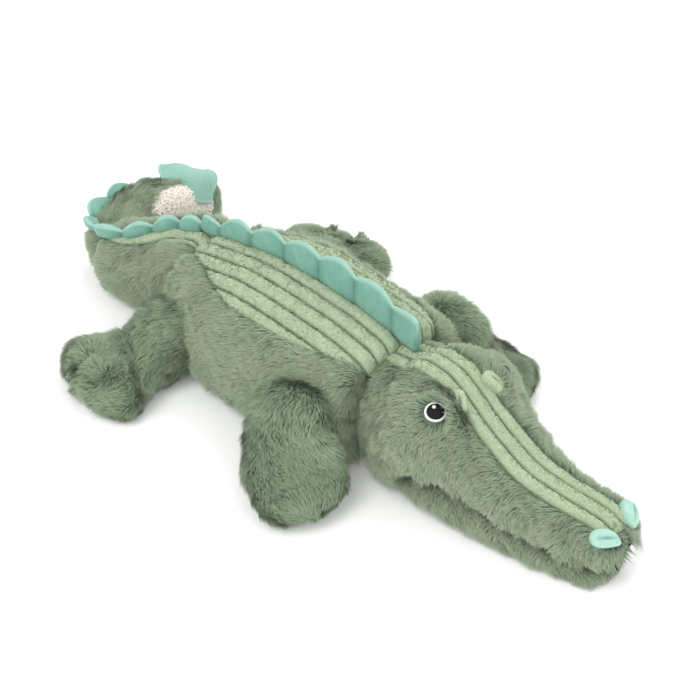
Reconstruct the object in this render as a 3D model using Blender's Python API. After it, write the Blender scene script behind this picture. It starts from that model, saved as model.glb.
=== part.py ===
"""Stuffed toy crocodile, lying on its belly with its tail folded back to its left.

Each stuffed part is a core of filling inside a sewn skin. Every form is a row of rounded
sections strung along a path, and its skin panels are patches of the same surface, so that
panels, core and seats follow one set of sizes. The head, jaw, tail and legs each turn in a
rounded seat, where the real toy bends at its seams.
"""

import math

import bmesh
import bpy
from mathutils import Matrix, Vector

# Driving sizes in metres. +X runs to the snout, +Y to the crocodile's left, +Z up.
# The floor is the plane z = 0, and x = 0 lies near the middle of the torso.
TORSO_LENGTH = 0.226
TORSO_WIDTH = 0.129
TORSO_HEIGHT = 0.095
NECK_PLACE = 0.088
HEAD_LENGTH = 0.177
HEAD_WIDTH = 0.108
HEAD_HEIGHT = 0.092
MOUTH_HEIGHT = 0.036
TAIL_LENGTH = 0.194
TAIL_WIDTH = 0.078
TAIL_HEIGHT = 0.073

# Cloth, seams and fits
SKIN = 0.003
SEAM_GAP = 0.0005
INNER_SEAM_GAP = 0.0022
SKIN_FIT = 0.0011
SEAT_CLEARANCE = 0.0012
FLOOR_FLAT = 0.0005
PROBE = 0.0002
MERGE = 0.000002
# Edges shorter than this are left by a cut, and are dissolved
SLIVER = 0.00005

# Ribbed cloth: how far a wale stands out, how deep a groove lies between two wales, and
# over what length the wales fade into a seat
WALE_RISE = 0.0009
WALE_GROOVE = 0.0013
WALE_FADE = 0.010
COLUMNS_PER_WALE = 3

# Round ends that turn in their seats, and how far before the joint the rim of each seat lies
NECK_RADIUS = 0.042
NECK_HALF_HEIGHT = 0.042
NECK_RIM = 0.015
HEAD_TIP_ROUND = 0.020
TAIL_ROOT_RADIUS = 0.034
TAIL_ROOT_HALF_HEIGHT = 0.0365
TAIL_ROOT_RIM = 0.012
TAIL_FOLD_PLACE = 0.098
TAIL_FOLD_RADIUS = 0.026
TAIL_FOLD_RIM = 0.018
TAIL_TIP_ROUND = 0.016

# Jaw
THROAT_PLACE = 0.012
JAW_PLACE = 0.030
JAW_WIDTH = 0.084
JAW_LENGTH = 0.140
JAW_TIP_ROUND = 0.012
LIP_GAP = 0.0014

# How far down a leg its rings lie closer together
LEG_ROOT = 0.018

# Front legs: a broad flipper that hangs from the shoulder seam
FRONT_LEG_LENGTH = 0.078
FLIPPER_WIDTH = 0.063
FLIPPER_THICKNESS = 0.029
FLIPPER_TIP_ROUND = 0.017
SHOULDER_PLACE = 0.044
SHOULDER_OUT = 0.072
SHOULDER_HEIGHT = 0.056
# By side, 1 for the left and -1 for the right: how steeply the leg hangs
SHOULDER_SLOPES = {1: math.radians(64), -1: math.radians(57)}

# Hind legs: a thigh, a shank and a foot with three toes
HIND_LEG_LENGTH = 0.081
HIP_FROM_TAIL = 0.038
HIP_PLACE = NECK_PLACE - TORSO_LENGTH + HIP_FROM_TAIL
HIP_OUT = 0.057
HIP_RADIUS = 0.024
HIP_CLEARANCE = 0.006
# By side: how far the leg points back from straight out
HIP_TURNS = {1: math.radians(20), -1: math.radians(10)}
FOOT_WIDTH = 0.092
FOOT_THICKNESS = 0.030
FOOT_MIDDLE = 0.048
FOOT_TIP_ROUND = 0.026
TOES = 3
TOE_GROOVE = 0.006
TOE_GROOVE_HALF_ANGLE = math.radians(11)
TOE_SPREAD = math.radians(124)

# Frill along the spine: two layers of velour, sewn together at the edge
FRILL_HEIGHT = 0.029
FRILL_THICKNESS = 0.0026
FRILL_EDGE = 0.0008
FRILL_SPLIT = 0.0002
FRILL_SEAT = 0.0008
# On ribbed cloth the frill stands closer on the back's rounded spine than on the tail's sharp one
RIBBED_FRILL_SEAT = 0.0006
TAIL_FRILL_SEAT = 0.0014
FRILL_END_GAP = 0.0015
FRILL_FOLD_GAP = 0.006
FRILL_TIP_GAP = 0.010
SCALLOP_PITCH = 0.0362
SCALLOP_PHASE = 0.020
TAIL_SCALLOP_PITCH = 0.021
TIP_SCALLOP_PITCH = 0.020

# Face
EYE_RADIUS = 0.0073
PUPIL_RADIUS = 0.0055
GLINT_RADIUS = 0.0012
GLINT_SHIFT = 0.0024
THREAD_DEPTH = 0.0008
THREAD_GAP = 0.0003
EYE_PLACE = 0.043
BROW_PLACE = 0.051
BROW_LENGTH = 0.014
BROW_WIDTH = 0.009
BROW_RISE = 0.0050
NOSTRIL_FROM_END = 0.011
NOSTRIL_LENGTH = 0.018
NOSTRIL_WIDTH = 0.011
NOSTRIL_RISE = 0.0065
PAD_SEAT = 0.0013

# Angles round a section, from the crocodile's left side over its back
HALF_TURN = math.radians(180)
QUARTER_TURN = math.radians(90)
BELLY_SEAM = math.radians(-45)
TORSO_SEAM = math.radians(-52)
LIP_SEAM = math.radians(-36)
JAW_SEAM = math.radians(36)
EYE_ANGLE = math.radians(54)
BROW_ANGLE = math.radians(66)
BROW_TURN = math.radians(55)
NOSTRIL_ANGLE = math.radians(60)
NOSTRIL_TURN = math.radians(-35)

# Shapes as shares: the place along the form first, then shares of its width or height
TORSO_WIDTH_SHARES = ((0.05, 0.75), (0.13, 0.84), (0.22, 0.93), (0.36, 1.03), (0.52, 1.05),
                      (0.66, 1.0), (0.84, 0.99), (0.935, 0.93))
TORSO_TOP_SHARES = ((0.05, 0.81), (0.13, 0.865), (0.24, 0.92), (0.40, 0.985), (0.57, 1.0),
                    (0.72, 0.995), (0.86, 0.96), (0.935, 0.925))
TORSO_MIDDLE_SHARES = ((0.05, 0.39), (0.30, 0.40), (0.50, 0.37), (0.70, 0.42), (0.935, 0.45))
TORSO_SQUARE_SHARES = ((0.05, 0.15), (0.30, 1.0), (0.75, 1.0), (0.935, 0.15))
HEAD_WIDTH_SHARES = ((0.0, 2 * NECK_RADIUS / HEAD_WIDTH), (0.07, 0.93), (0.15, 1.0),
                     (0.23, 0.95), (0.31, 0.80), (0.40, 0.675), (0.49, 0.61), (0.60, 0.55),
                     (0.72, 0.505), (0.84, 0.48), (1.0, 0.46))
HEAD_TOP_SHARES = ((0.0, 2 * NECK_HALF_HEIGHT / HEAD_HEIGHT), (0.09, 0.995), (0.18, 0.99),
                   (0.25, 0.935), (0.31, 0.865), (0.38, 0.775), (0.47, 0.685), (0.60, 0.58),
                   (0.76, 0.54), (1.0, 0.53))
HEAD_MIDDLE_SHARES = ((0.0, NECK_HALF_HEIGHT / HEAD_HEIGHT), (0.10, 0.50), (0.18, 0.60),
                      (0.30, 0.58), (0.44, 0.48), (0.60, 0.385), (0.78, 0.35), (1.0, 0.34))
HEAD_SQUARE_SHARES = ((0.0, 0.0), (0.20, 0.6), (0.35, 1.0), (1.0, 1.0))
MOUTH_SHARES = ((0.0, 0.0), (0.06, 0.01), (0.12, 0.40), (0.176, 0.94), (0.25, 0.95),
                (0.33, 0.93), (0.44, 0.84), (0.60, 0.65), (0.78, 0.56), (1.0, 0.50))
JAW_WIDTH_SHARES = ((0.0, 1.0), (0.25, 0.90), (0.40, 0.80), (0.60, 0.68), (0.80, 0.57),
                    (1.0, 0.48))
FOLD_SHARE = TAIL_FOLD_PLACE / TAIL_LENGTH
TAIL_WIDTH_SHARES = ((0.0, 2 * TAIL_ROOT_RADIUS / TAIL_WIDTH), (0.10, 1.0), (0.24, 0.88),
                     (0.37, 0.74), (FOLD_SHARE, 2 * TAIL_FOLD_RADIUS / TAIL_WIDTH),
                     (0.66, 0.80), (0.84, 0.73), (1.0, 0.62))
TAIL_RISE_SHARES = ((0.0, 2 * TAIL_ROOT_HALF_HEIGHT / TAIL_HEIGHT), (0.10, 1.0),
                    (0.24, 0.91), (0.37, 0.80), (FOLD_SHARE, 2 * TAIL_FOLD_RADIUS / TAIL_HEIGHT),
                    (0.66, 0.69), (0.84, 0.57), (1.0, 0.46))
TAIL_DROP_SHARES = ((0.0, 2 * TAIL_ROOT_HALF_HEIGHT / TAIL_HEIGHT), (0.10, 0.95),
                    (0.24, 0.82), (0.37, 0.74), (FOLD_SHARE, 2 * TAIL_FOLD_RADIUS / TAIL_HEIGHT),
                    (0.66, 0.61), (0.84, 0.50), (1.0, 0.40))
TAIL_SQUARE_SHARES = ((0.0, 0.0), (0.14, 1.0), (0.34, 1.0), (FOLD_SHARE, 0.0), (0.64, 1.0),
                      (1.0, 1.0))
FLIPPER_WIDTH_SHARES = ((0.0, 0.88), (0.30, 0.92), (0.58, 0.98), (0.80, 0.96), (1.0, 0.90))
FLIPPER_RISE_SHARES = ((0.0, 1.0), (0.25, 1.0), (0.55, 0.94), (0.80, 0.80), (1.0, 0.66))
FLIPPER_DROP_SHARES = ((0.0, 1.0), (0.06, 0.92), (0.14, 0.68), (0.25, 0.62), (0.60, 0.66),
                       (1.0, 0.62))
LIMB_SQUARE_SHARES = ((0.0, 0.0), (0.12, 1.0), (1.0, 1.0))
SHANK_WIDTH_SHARES = ((0.0, 2 * HIP_RADIUS / FOOT_WIDTH), (0.10, 0.53), (0.22, 0.55),
                      (0.38, 0.57), (0.50, 0.66), (0.64, 0.88), (0.78, 0.98), (1.0, 1.0))
SHANK_RISE_SHARES = ((0.0, 2 * HIP_RADIUS / FOOT_THICKNESS), (0.12, 1.50), (0.40, 1.30),
                     (0.55, 1.08), (0.75, 0.98), (1.0, 0.90))
SHANK_CLEAR_SHARES = ((0.0, 1.0), (0.20, 0.75), (0.45, 0.0), (1.0, 0.0))

# How far a path turns or a section rolls, as shares of half a turn
SNOUT_HEADING_SHARES = ((0.0, 0.0), (0.40, 0.0), (0.60, 0.02), (0.80, 0.05), (1.0, 0.07))
TAIL_HEADING_SHARES = ((0.0, 0.0), (0.08, -0.07), (0.18, -0.13), (0.29, -0.10),
                       (0.42, 0.09), (0.55, 0.34), (0.68, 0.50), (0.84, 0.54), (1.0, 0.54))
TAIL_ROLL_SHARES = ((0.0, 0.0), (0.18, 0.06), (0.36, 0.17), (0.50, 0.27), (0.72, 0.38),
                    (1.0, 0.40))
FLIPPER_HEADING_SHARES = ((0.0, 0.07), (0.12, 0.11), (0.36, 0.21), (0.62, 0.31), (1.0, 0.38))
# By side: how much of that turn each front leg makes
FLIPPER_SWEEP_SHARES = {1: 1.08, -1: 1.06}
FLIPPER_ROLL_SHARES = ((0.0, 0.0), (0.15, -0.01), (0.50, -0.17), (0.80, -0.26), (1.0, -0.28))

# How far each ribbed panel reaches from the spine, as a share of a quarter turn
BACK_PANEL_SHARES = ((0.05, 0.30), (0.20, 0.40), (0.40, 0.52), (0.65, 0.53), (0.85, 0.44),
                     (0.935, 0.38))
TAIL_PANEL_SHARES = ((0.0, 0.30), (0.12, 0.30), (0.29, 0.22), (0.40, 0.12))
# The belly cloth of the folded tail end widens on its upper side, towards the tip. Its seam
# lies this share of a quarter turn from straight out.
TIP_BELLY_SHARES = ((0.0, -0.50), (0.12, -0.40), (0.30, -0.12), (0.60, -0.04), (1.0, -0.10))
FACE_PANEL_SHARES = ((0.0, 0.30), (0.15, 0.27), (0.30, 0.28), (0.45, 0.32), (0.70, 0.35),
                     (0.90, 0.33), (1.0, 0.30))

# Frill heights from its first end to its last, as shares of the full height
FRILL_TORSO_SHARES = ((0.0, 0.45), (0.15, 0.66), (0.33, 0.74), (0.52, 0.87), (0.68, 1.0),
                      (0.85, 1.0), (0.97, 0.90), (1.0, 0.80))
FRILL_TAIL_SHARES = ((0.0, 0.46), (0.5, 0.46), (1.0, 0.46))
FRILL_TIP_SHARES = ((0.0, 0.46), (0.5, 0.50), (0.8, 0.56), (1.0, 0.44))
VALLEY_SHARE = 0.55
SCALLOP_ARCH_SHARE = 0.75
FRILL_BASE_SHARE = 0.45
STITCH_DOME_SHARE = 0.4
PAD_DOME_SHARE = 0.8

# Squareness of a section: 2 is an ellipse, and more is boxier
ROUND = 2
TORSO_UPPER_SQUARE = 2.1
TORSO_LOWER_SQUARE = 3.5
HEAD_UPPER_SQUARE = 2.2
HEAD_LOWER_SQUARE = 3.2
JAW_SQUARE = 2.8
TAIL_UPPER_SQUARE = 1.75
TAIL_LOWER_SQUARE = 2.3
LIMB_SQUARE = 2.6

# How finely each form is divided: rows along it and columns round it
CORE_COLUMNS = 18
HEAD_COLUMNS = 20
LIMB_COLUMNS = 16
SEAT_COLUMNS = 20
ROOT_ROWS = 3
TIP_ROWS = 3
SCALLOP_STEPS = 4

FUR = ("sage_fur", (0.24, 0.33, 0.22), 0.95)
RIBBED = ("ribbed_plush", (0.42, 0.50, 0.30), 0.9)
SHERPA = ("cream_sherpa", (0.82, 0.70, 0.58), 0.95)
VELOUR = ("aqua_velour", (0.18, 0.50, 0.41), 0.7)
PALE_VELOUR = ("mint_velour", (0.38, 0.72, 0.60), 0.7)
WHITE_THREAD = ("white_thread", (0.85, 0.85, 0.83), 0.5)
BLACK_THREAD = ("black_thread", (0.012, 0.012, 0.012), 0.45)
LINING_CLOTH = ("mouth_lining", (0.05, 0.045, 0.045), 0.9)
FILLING = ("fibre_filling", (0.85, 0.85, 0.82), 1.0)


class Curve:
    """A value that follows a table of (place, value) rows smoothly, without overshooting."""

    def __init__(self, rows):
        self.places = [row[0] for row in rows]
        self.values = [row[1] for row in rows]
        gaps = [b - a for a, b in zip(self.places, self.places[1:])]
        rises = [(b - a) / g for a, b, g in zip(self.values, self.values[1:], gaps)]
        inner = [0 if a * b <= 0 else 2 * a * b / (a + b) for a, b in zip(rises, rises[1:])]
        self.slopes = [rises[0], *inner, rises[-1]]

    def __call__(self, place):
        places, values, slopes = self.places, self.values, self.slopes
        if place <= places[0]:
            return values[0]
        if place >= places[-1]:
            return values[-1]
        i = max(k for k, start in enumerate(places) if start <= place)
        gap = places[i + 1] - places[i]
        t = (place - places[i]) / gap
        bend = t * t * (3 - 2 * t)
        return (values[i] + (values[i + 1] - values[i]) * bend
                + gap * t * (1 - t) * (slopes[i] * (1 - t) - slopes[i + 1] * t))


def scaled(shares, length, size):
    """A table of shares as a curve in metres along a form."""
    return Curve([(place * length, share * size) for place, share in shares])


def constant(value):
    return lambda place: value


def squareness(full, length, shares):
    """A squareness that is an ellipse's where the share is 0, and full where it is 1."""
    grown = scaled(shares, length, 1)
    return lambda place: ROUND + (full - ROUND) * grown(place)


class Form:
    """A stuffed form: rounded sections along a path that may turn in its plane and roll."""

    STEPS = 240

    def __init__(self, origin, along, left, up, length, width, rise, drop, root_round=0,
                 tip_round=0, upper=constant(ROUND), lower=constant(ROUND),
                 heading=constant(0), roll=constant(0), lift=constant(0), reshape=None):
        self.origin, self.along, self.left, self.up = origin, along, left, up
        self.length, self.root_round, self.tip_round = length, root_round, tip_round
        self.width, self.rise, self.drop = width, rise, drop
        self.upper, self.lower = upper, lower
        self.heading, self.roll, self.lift = heading, roll, lift
        self.reshape = reshape
        step = length / self.STEPS
        self.path = [origin.copy()]
        for k in range(self.STEPS):
            turn = heading((k + 1 / 2) * step)
            self.path.append(self.path[-1] + self.direction(turn) * step)

    def direction(self, turn):
        return self.along * math.cos(turn) + self.left * math.sin(turn)

    def frame(self, place):
        """The section's centre, and its directions along, left and up."""
        turn, lean = self.heading(place), self.roll(place)
        along = self.direction(turn)
        level = self.left * math.cos(turn) - self.along * math.sin(turn)
        left = level * math.cos(lean) + self.up * math.sin(lean)
        up = self.up * math.cos(lean) - level * math.sin(lean)
        if place <= 0:
            centre = self.origin + along * place
        else:
            t = min(place / self.length, 1) * self.STEPS
            k = min(int(t), self.STEPS - 1)
            centre = self.path[k].lerp(self.path[k + 1], t - k)
        return centre + self.up * self.lift(place), along, left, up

    def fullness(self, place):
        """How much of its full section the form has, less than 1 in its round ends."""
        if place < 0:
            return math.sqrt(max(1 - (place / self.root_round) ** 2, 0))
        past = place - (self.length - self.tip_round)
        if self.tip_round and past > 0:
            return math.sqrt(max(1 - (past / self.tip_round) ** 2, 0))
        return 1

    def point(self, place, angle):
        full = self.fullness(place)
        across, over = math.cos(angle), math.sin(angle)
        power = ROUND / (self.upper(place) if over >= 0 else self.lower(place))
        reach = self.rise(place) if over >= 0 else self.drop(place)
        side = self.width(place) * full * math.copysign(abs(across) ** power, across)
        height = reach * full * math.copysign(abs(over) ** power, over)
        if self.reshape:
            place, side = self.reshape(place, side)
        centre, _, left, up = self.frame(place)
        return centre + left * side + up * height

    def normal(self, place, angle):
        centre, along, _, _ = self.frame(place)
        if self.is_pole(place):
            return -along if place < 0 else along
        forward = min(place + PROBE, self.length)
        back = place - PROBE
        if self.root_round:
            back = max(back, -self.root_round)
        ahead = self.point(forward, angle) - self.point(back, angle)
        turn = PROBE / self.width(place)
        around = self.point(place, angle + turn) - self.point(place, angle - turn)
        out = ahead.cross(around).normalized()
        return out if out.dot(self.point(place, angle) - centre) > 0 else -out

    def is_pole(self, place):
        return self.fullness(place) * self.width(place) < PROBE

    def surface(self, place, angle, inset=0):
        """A point of the skin's outer face, or of a surface deeper than it by the inset."""
        found = self.point(place, angle) - self.normal(place, angle) * inset
        found.z = max(found.z, inset, 0)
        return found

    def run(self, place, angle):
        """How far the surface runs for each radian round the section."""
        turn = PROBE / self.width(place)
        return (self.point(place, angle + turn) - self.point(place, angle)).length / turn

    def seam(self, place, angle, gap):
        """The angle of a seam, moved by a gap measured along the surface."""
        return angle + gap / max(self.run(place, angle), SEAM_GAP)

    def rows(self, start, *stretches):
        """Places for a core's rings, with the end and count of each stretch of its body."""
        places = [start]
        if self.root_round:
            places = [-self.root_round * bend for bend in reversed(bends(ROOT_ROWS))]
        for stop, count in stretches:
            places += [start + (stop - start) * k / count for k in range(count)]
            start = stop
        if self.tip_round:
            return places + [start + self.tip_round * bend for bend in (0, *bends(TIP_ROWS))]
        return places + [start, start]

    def full_end(self):
        return self.length - self.tip_round

    def near_pole(self):
        """The place where the round tip is a few seams wide."""
        full = INNER_SEAM_GAP / self.width(self.length)
        return self.full_end() + self.tip_round * math.sqrt(1 - full * full)


def bends(count):
    """Even steps round a quarter circle, as shares of its radius."""
    return [math.sin(QUARTER_TURN * k / count) for k in range(1, count + 1)]


def finish(name, colour, roughness):
    material = bpy.data.materials.get(name)
    if not material:
        material = bpy.data.materials.new(name)
        material.use_nodes = True
        shader = material.node_tree.nodes["Principled BSDF"]
        shader.inputs["Base Color"].default_value = (*colour, 1)
        shader.inputs["Roughness"].default_value = roughness
        shader.inputs["Metallic"].default_value = 0
    return material


def clear_scene():
    for thing in list(bpy.data.objects):
        bpy.data.objects.remove(thing)


def new_collection(name):
    collection = bpy.data.collections.new(name)
    bpy.context.scene.collection.children.link(collection)
    return collection


def add(bm, name, look, collection="plush_crocodile"):
    """Puts a finished mesh in the scene as one named object."""
    bmesh.ops.remove_doubles(bm, verts=bm.verts, dist=MERGE)
    bmesh.ops.recalc_face_normals(bm, faces=bm.faces)
    mesh = bpy.data.meshes.new(name)
    bm.to_mesh(mesh)
    bm.free()
    mesh.shade_smooth()
    mesh.set_sharp_from_angle(angle=math.radians(50))
    thing = bpy.data.objects.new(name, mesh)
    if look:
        mesh.materials.append(finish(*look))
    bpy.data.collections[collection].objects.link(thing)
    return thing


def cut(thing, cutters):
    """Cuts the seats out of a piece, and dissolves the slivers that the cuts leave."""
    for cutter in cutters:
        modifier = thing.modifiers.new("cut_" + cutter.name, "BOOLEAN")
        modifier.operation = "DIFFERENCE"
        modifier.solver = "EXACT"
        modifier.object = cutter
    bm = bmesh.new()
    bm.from_object(thing, bpy.context.evaluated_depsgraph_get())
    bmesh.ops.triangulate(bm, faces=bm.faces)
    bmesh.ops.dissolve_degenerate(bm, edges=bm.edges, dist=SLIVER)
    thing.modifiers.clear()
    bm.to_mesh(thing.data)
    bm.free()


def seat(name, form):
    """The cutter that makes room for a form's round root end to turn."""
    centre, along, left, up = form.frame(0)
    turn = Matrix((along, left, up)).transposed()
    radii = [form.root_round, form.width(0), form.rise(0)]
    bm = bmesh.new()
    bmesh.ops.create_uvsphere(bm, u_segments=SEAT_COLUMNS, v_segments=SEAT_COLUMNS // 2, radius=1)
    for vertex in bm.verts:
        stretched = Vector([c * (r + SEAT_CLEARANCE) for c, r in zip(vertex.co, radii)])
        vertex.co = centre + turn @ stretched
    cutter = add(bm, name, None, "cutters")
    cutter.hide_render = True
    cutter.display_type = "WIRE"
    return cutter


def sheet(name, columns, rows, outer, inner, look):
    """A thin closed piece: a grid laid on one face and drawn through to the other."""
    bm = bmesh.new()
    bmesh.ops.create_grid(bm, x_segments=columns, y_segments=rows, size=1)
    drawn = bmesh.ops.extrude_face_region(bm, geom=list(bm.faces))
    far = {v for v in drawn["geom"] if isinstance(v, bmesh.types.BMVert)}
    for vertex in bm.verts:
        j = round((vertex.co.x + 1) / 2 * columns)
        i = round((vertex.co.y + 1) / 2 * rows)
        vertex.co = inner(i, j) if vertex in far else outer(i, j)
    return add(bm, name, look)


def core(name, form, places, columns=CORE_COLUMNS):
    """The filling of a form: a ball whose rings are laid on the form's sections."""
    inset = SKIN + SKIN_FIT
    last = len(places) - 1
    bm = bmesh.new()
    bmesh.ops.create_uvsphere(bm, u_segments=columns, v_segments=last, radius=1)
    for vertex in bm.verts:
        i = round(math.acos(max(-1, min(1, vertex.co.z))) / HALF_TURN * last)
        angle = math.atan2(vertex.co.y, vertex.co.x)
        if 0 < i < last or form.is_pole(places[i]):
            vertex.co = form.surface(places[i], angle, inset)
        else:
            vertex.co = form.frame(places[i])[0]
    return add(bm, name, FILLING)


def panel(name, form, places, low, high, columns, look, side=1):
    """A skin panel: the patch of a form between two seams, low and high, on one side."""
    ribbed = look is RIBBED

    def spot(i, j, gap, inset):
        place = places[i]
        start, stop = low(place), high(place)
        if form.is_pole(place):
            place, found = form.near_pole(), (start + stop) / 2
        else:
            start, stop = form.seam(place, start, gap), form.seam(place, stop, -gap)
            found = start + (stop - start) * j / columns
        return form.surface(place, found if side > 0 else HALF_TURN - found, inset)

    def relief(i, j):
        if not ribbed:
            return 0
        fade = max(0, min(1, places[i] / WALE_FADE)) if form.root_round else 1
        height = WALE_GROOVE if j % COLUMNS_PER_WALE == 0 else -WALE_RISE
        return fade * form.fullness(places[i]) * height

    def outer(i, j):
        return spot(i, j, SEAM_GAP / 2, relief(i, j))

    def inner(i, j):
        return spot(i, j, INNER_SEAM_GAP / 2, SKIN)

    return sheet(name, columns, len(places) - 1, outer, inner, look)


def frill(name, form, start, stop, pitch, phase, heights, base=FRILL_SEAT):
    """Both velour layers of the frill: scallops along the spine, fullest at their middle."""
    count = round((stop - start) / pitch * SCALLOP_STEPS)
    tall = scaled(heights, 1, FRILL_HEIGHT)

    def place(i):
        return start + (stop - start) * i / count

    def arch(i):
        return abs(math.sin(HALF_TURN * (place(i) - phase) / pitch)) ** SCALLOP_ARCH_SHARE

    def spot(i, j, out):
        _, _, left, up = form.frame(place(i))
        height = tall(i / count) * (VALLEY_SHARE + (1 - VALLEY_SHARE) * arch(i)) * j / 2
        return form.point(place(i), QUARTER_TURN) + up * (base + height) + left * out

    for label, side in (("left", 1), ("right", -1)):
        def outer(i, j):
            swell = FRILL_BASE_SHARE if j == 0 else max(arch(i), FRILL_BASE_SHARE)
            thick = FRILL_EDGE if j == 2 else FRILL_THICKNESS * swell
            return spot(i, j, side * (FRILL_SPLIT + thick))

        def inner(i, j):
            return spot(i, j, side * FRILL_SPLIT)

        sheet(f"{name}_{label}", 2, count, outer, inner, VELOUR)


def pad(name, form, place, angle, length, width, base, rise, dome, look, side, turn=0,
        columns=10, rows=4, ahead=0, around=0):
    """A small sewn pad whose underside follows the form, at a height base above it."""
    run = form.run(place, angle)
    bm = bmesh.new()
    bmesh.ops.create_uvsphere(bm, u_segments=columns, v_segments=rows, radius=1)
    for vertex in bm.verts:
        x, y = vertex.co.x * length / 2, vertex.co.y * width / 2
        forth = ahead + x * math.cos(turn) - y * math.sin(turn)
        found = angle + (around + x * math.sin(turn) + y * math.cos(turn)) / run
        height = base + rise * max(vertex.co.z, 0) ** dome
        found = found if side > 0 else HALF_TURN - found
        vertex.co = form.surface(place + forth, found, -height)
    return add(bm, name, look)


def torso_form():
    width = scaled(TORSO_WIDTH_SHARES, TORSO_LENGTH, TORSO_WIDTH / 2)
    top = scaled(TORSO_TOP_SHARES, TORSO_LENGTH, TORSO_HEIGHT)
    middle = scaled(TORSO_MIDDLE_SHARES, TORSO_LENGTH, TORSO_HEIGHT)
    return Form(
        Vector((NECK_PLACE - TORSO_LENGTH, 0, -FLOOR_FLAT)), Vector((1, 0, 0)),
        Vector((0, 1, 0)), Vector((0, 0, 1)), TORSO_LENGTH, width,
        lambda s: top(s) - middle(s), middle, lift=middle,
        upper=squareness(TORSO_UPPER_SQUARE, TORSO_LENGTH, TORSO_SQUARE_SHARES),
        lower=squareness(TORSO_LOWER_SQUARE, TORSO_LENGTH, TORSO_SQUARE_SHARES))


def head_form():
    width = scaled(HEAD_WIDTH_SHARES, HEAD_LENGTH, HEAD_WIDTH / 2)
    top = scaled(HEAD_TOP_SHARES, HEAD_LENGTH, HEAD_HEIGHT)
    middle = scaled(HEAD_MIDDLE_SHARES, HEAD_LENGTH, HEAD_HEIGHT)
    mouth = scaled(MOUTH_SHARES, HEAD_LENGTH, MOUTH_HEIGHT)
    return Form(
        Vector((NECK_PLACE, 0, -FLOOR_FLAT)), Vector((1, 0, 0)), Vector((0, 1, 0)),
        Vector((0, 0, 1)), HEAD_LENGTH, width, lambda s: top(s) - middle(s),
        lambda s: middle(s) - mouth(s), root_round=NECK_RADIUS, tip_round=HEAD_TIP_ROUND,
        lift=middle, upper=squareness(HEAD_UPPER_SQUARE, HEAD_LENGTH, HEAD_SQUARE_SHARES),
        lower=squareness(HEAD_LOWER_SQUARE, HEAD_LENGTH, HEAD_SQUARE_SHARES),
        heading=scaled(SNOUT_HEADING_SHARES, HEAD_LENGTH, HALF_TURN))


def jaw_form():
    """The lower jaw fills the room under the mouth, a lip gap below it."""
    mouth = scaled(MOUTH_SHARES, HEAD_LENGTH, MOUTH_HEIGHT)
    bend = scaled(SNOUT_HEADING_SHARES, HEAD_LENGTH, HALF_TURN)
    square = squareness(JAW_SQUARE, JAW_LENGTH, HEAD_SQUARE_SHARES)

    def half(place):
        return (mouth(JAW_PLACE + max(place, 0)) - LIP_GAP) / 2

    return Form(
        Vector((NECK_PLACE + JAW_PLACE, 0, -FLOOR_FLAT)), Vector((1, 0, 0)),
        Vector((0, 1, 0)), Vector((0, 0, 1)), JAW_LENGTH,
        scaled(JAW_WIDTH_SHARES, JAW_LENGTH, JAW_WIDTH / 2), half, half,
        root_round=half(0), tip_round=JAW_TIP_ROUND, upper=square, lower=square, lift=half,
        heading=lambda s: bend(JAW_PLACE + max(s, 0)))


def tail_form(origin, start, stop, root_round, tip_round):
    """The stretch of the tail from one place to another. It rests on the floor as it rolls."""
    def shifted(curve):
        return lambda place: curve(start + max(place, 0))

    width = shifted(scaled(TAIL_WIDTH_SHARES, TAIL_LENGTH, TAIL_WIDTH / 2))
    rise = shifted(scaled(TAIL_RISE_SHARES, TAIL_LENGTH, TAIL_HEIGHT / 2))
    drop = shifted(scaled(TAIL_DROP_SHARES, TAIL_LENGTH, TAIL_HEIGHT / 2))
    heading = shifted(scaled(TAIL_HEADING_SHARES, TAIL_LENGTH, HALF_TURN))
    roll = shifted(scaled(TAIL_ROLL_SHARES, TAIL_LENGTH, HALF_TURN))
    upper = shifted(squareness(TAIL_UPPER_SQUARE, TAIL_LENGTH, TAIL_SQUARE_SHARES))
    lower = shifted(squareness(TAIL_LOWER_SQUARE, TAIL_LENGTH, TAIL_SQUARE_SHARES))

    def resting(place):
        power = lower(place) / (lower(place) - 1)
        across = width(place) * math.sin(roll(place))
        down = drop(place) * math.cos(roll(place))
        return (across ** power + down ** power) ** (1 / power) - FLOOR_FLAT

    return Form(
        origin, Vector((-1, 0, 0)), Vector((0, 1, 0)), Vector((0, 0, 1)), stop - start,
        width, rise, drop, root_round=root_round, tip_round=tip_round, upper=upper,
        lower=lower, heading=heading, roll=roll, lift=resting)


def front_leg_form(side):
    slope = SHOULDER_SLOPES[side]
    thick = FLIPPER_THICKNESS / 2
    return Form(
        Vector((SHOULDER_PLACE, side * SHOULDER_OUT, SHOULDER_HEIGHT)),
        Vector((0, side * math.cos(slope), -math.sin(slope))), Vector((1, 0, 0)),
        Vector((0, side * math.sin(slope), math.cos(slope))), FRONT_LEG_LENGTH,
        scaled(FLIPPER_WIDTH_SHARES, FRONT_LEG_LENGTH, FLIPPER_WIDTH / 2),
        scaled(FLIPPER_RISE_SHARES, FRONT_LEG_LENGTH, thick),
        scaled(FLIPPER_DROP_SHARES, FRONT_LEG_LENGTH, thick),
        root_round=thick, tip_round=FLIPPER_TIP_ROUND,
        upper=squareness(LIMB_SQUARE, FRONT_LEG_LENGTH, LIMB_SQUARE_SHARES),
        lower=squareness(LIMB_SQUARE, FRONT_LEG_LENGTH, LIMB_SQUARE_SHARES),
        heading=scaled(FLIPPER_HEADING_SHARES, FRONT_LEG_LENGTH,
                       HALF_TURN * FLIPPER_SWEEP_SHARES[side]),
        roll=scaled(FLIPPER_ROLL_SHARES, FRONT_LEG_LENGTH, HALF_TURN))


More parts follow.
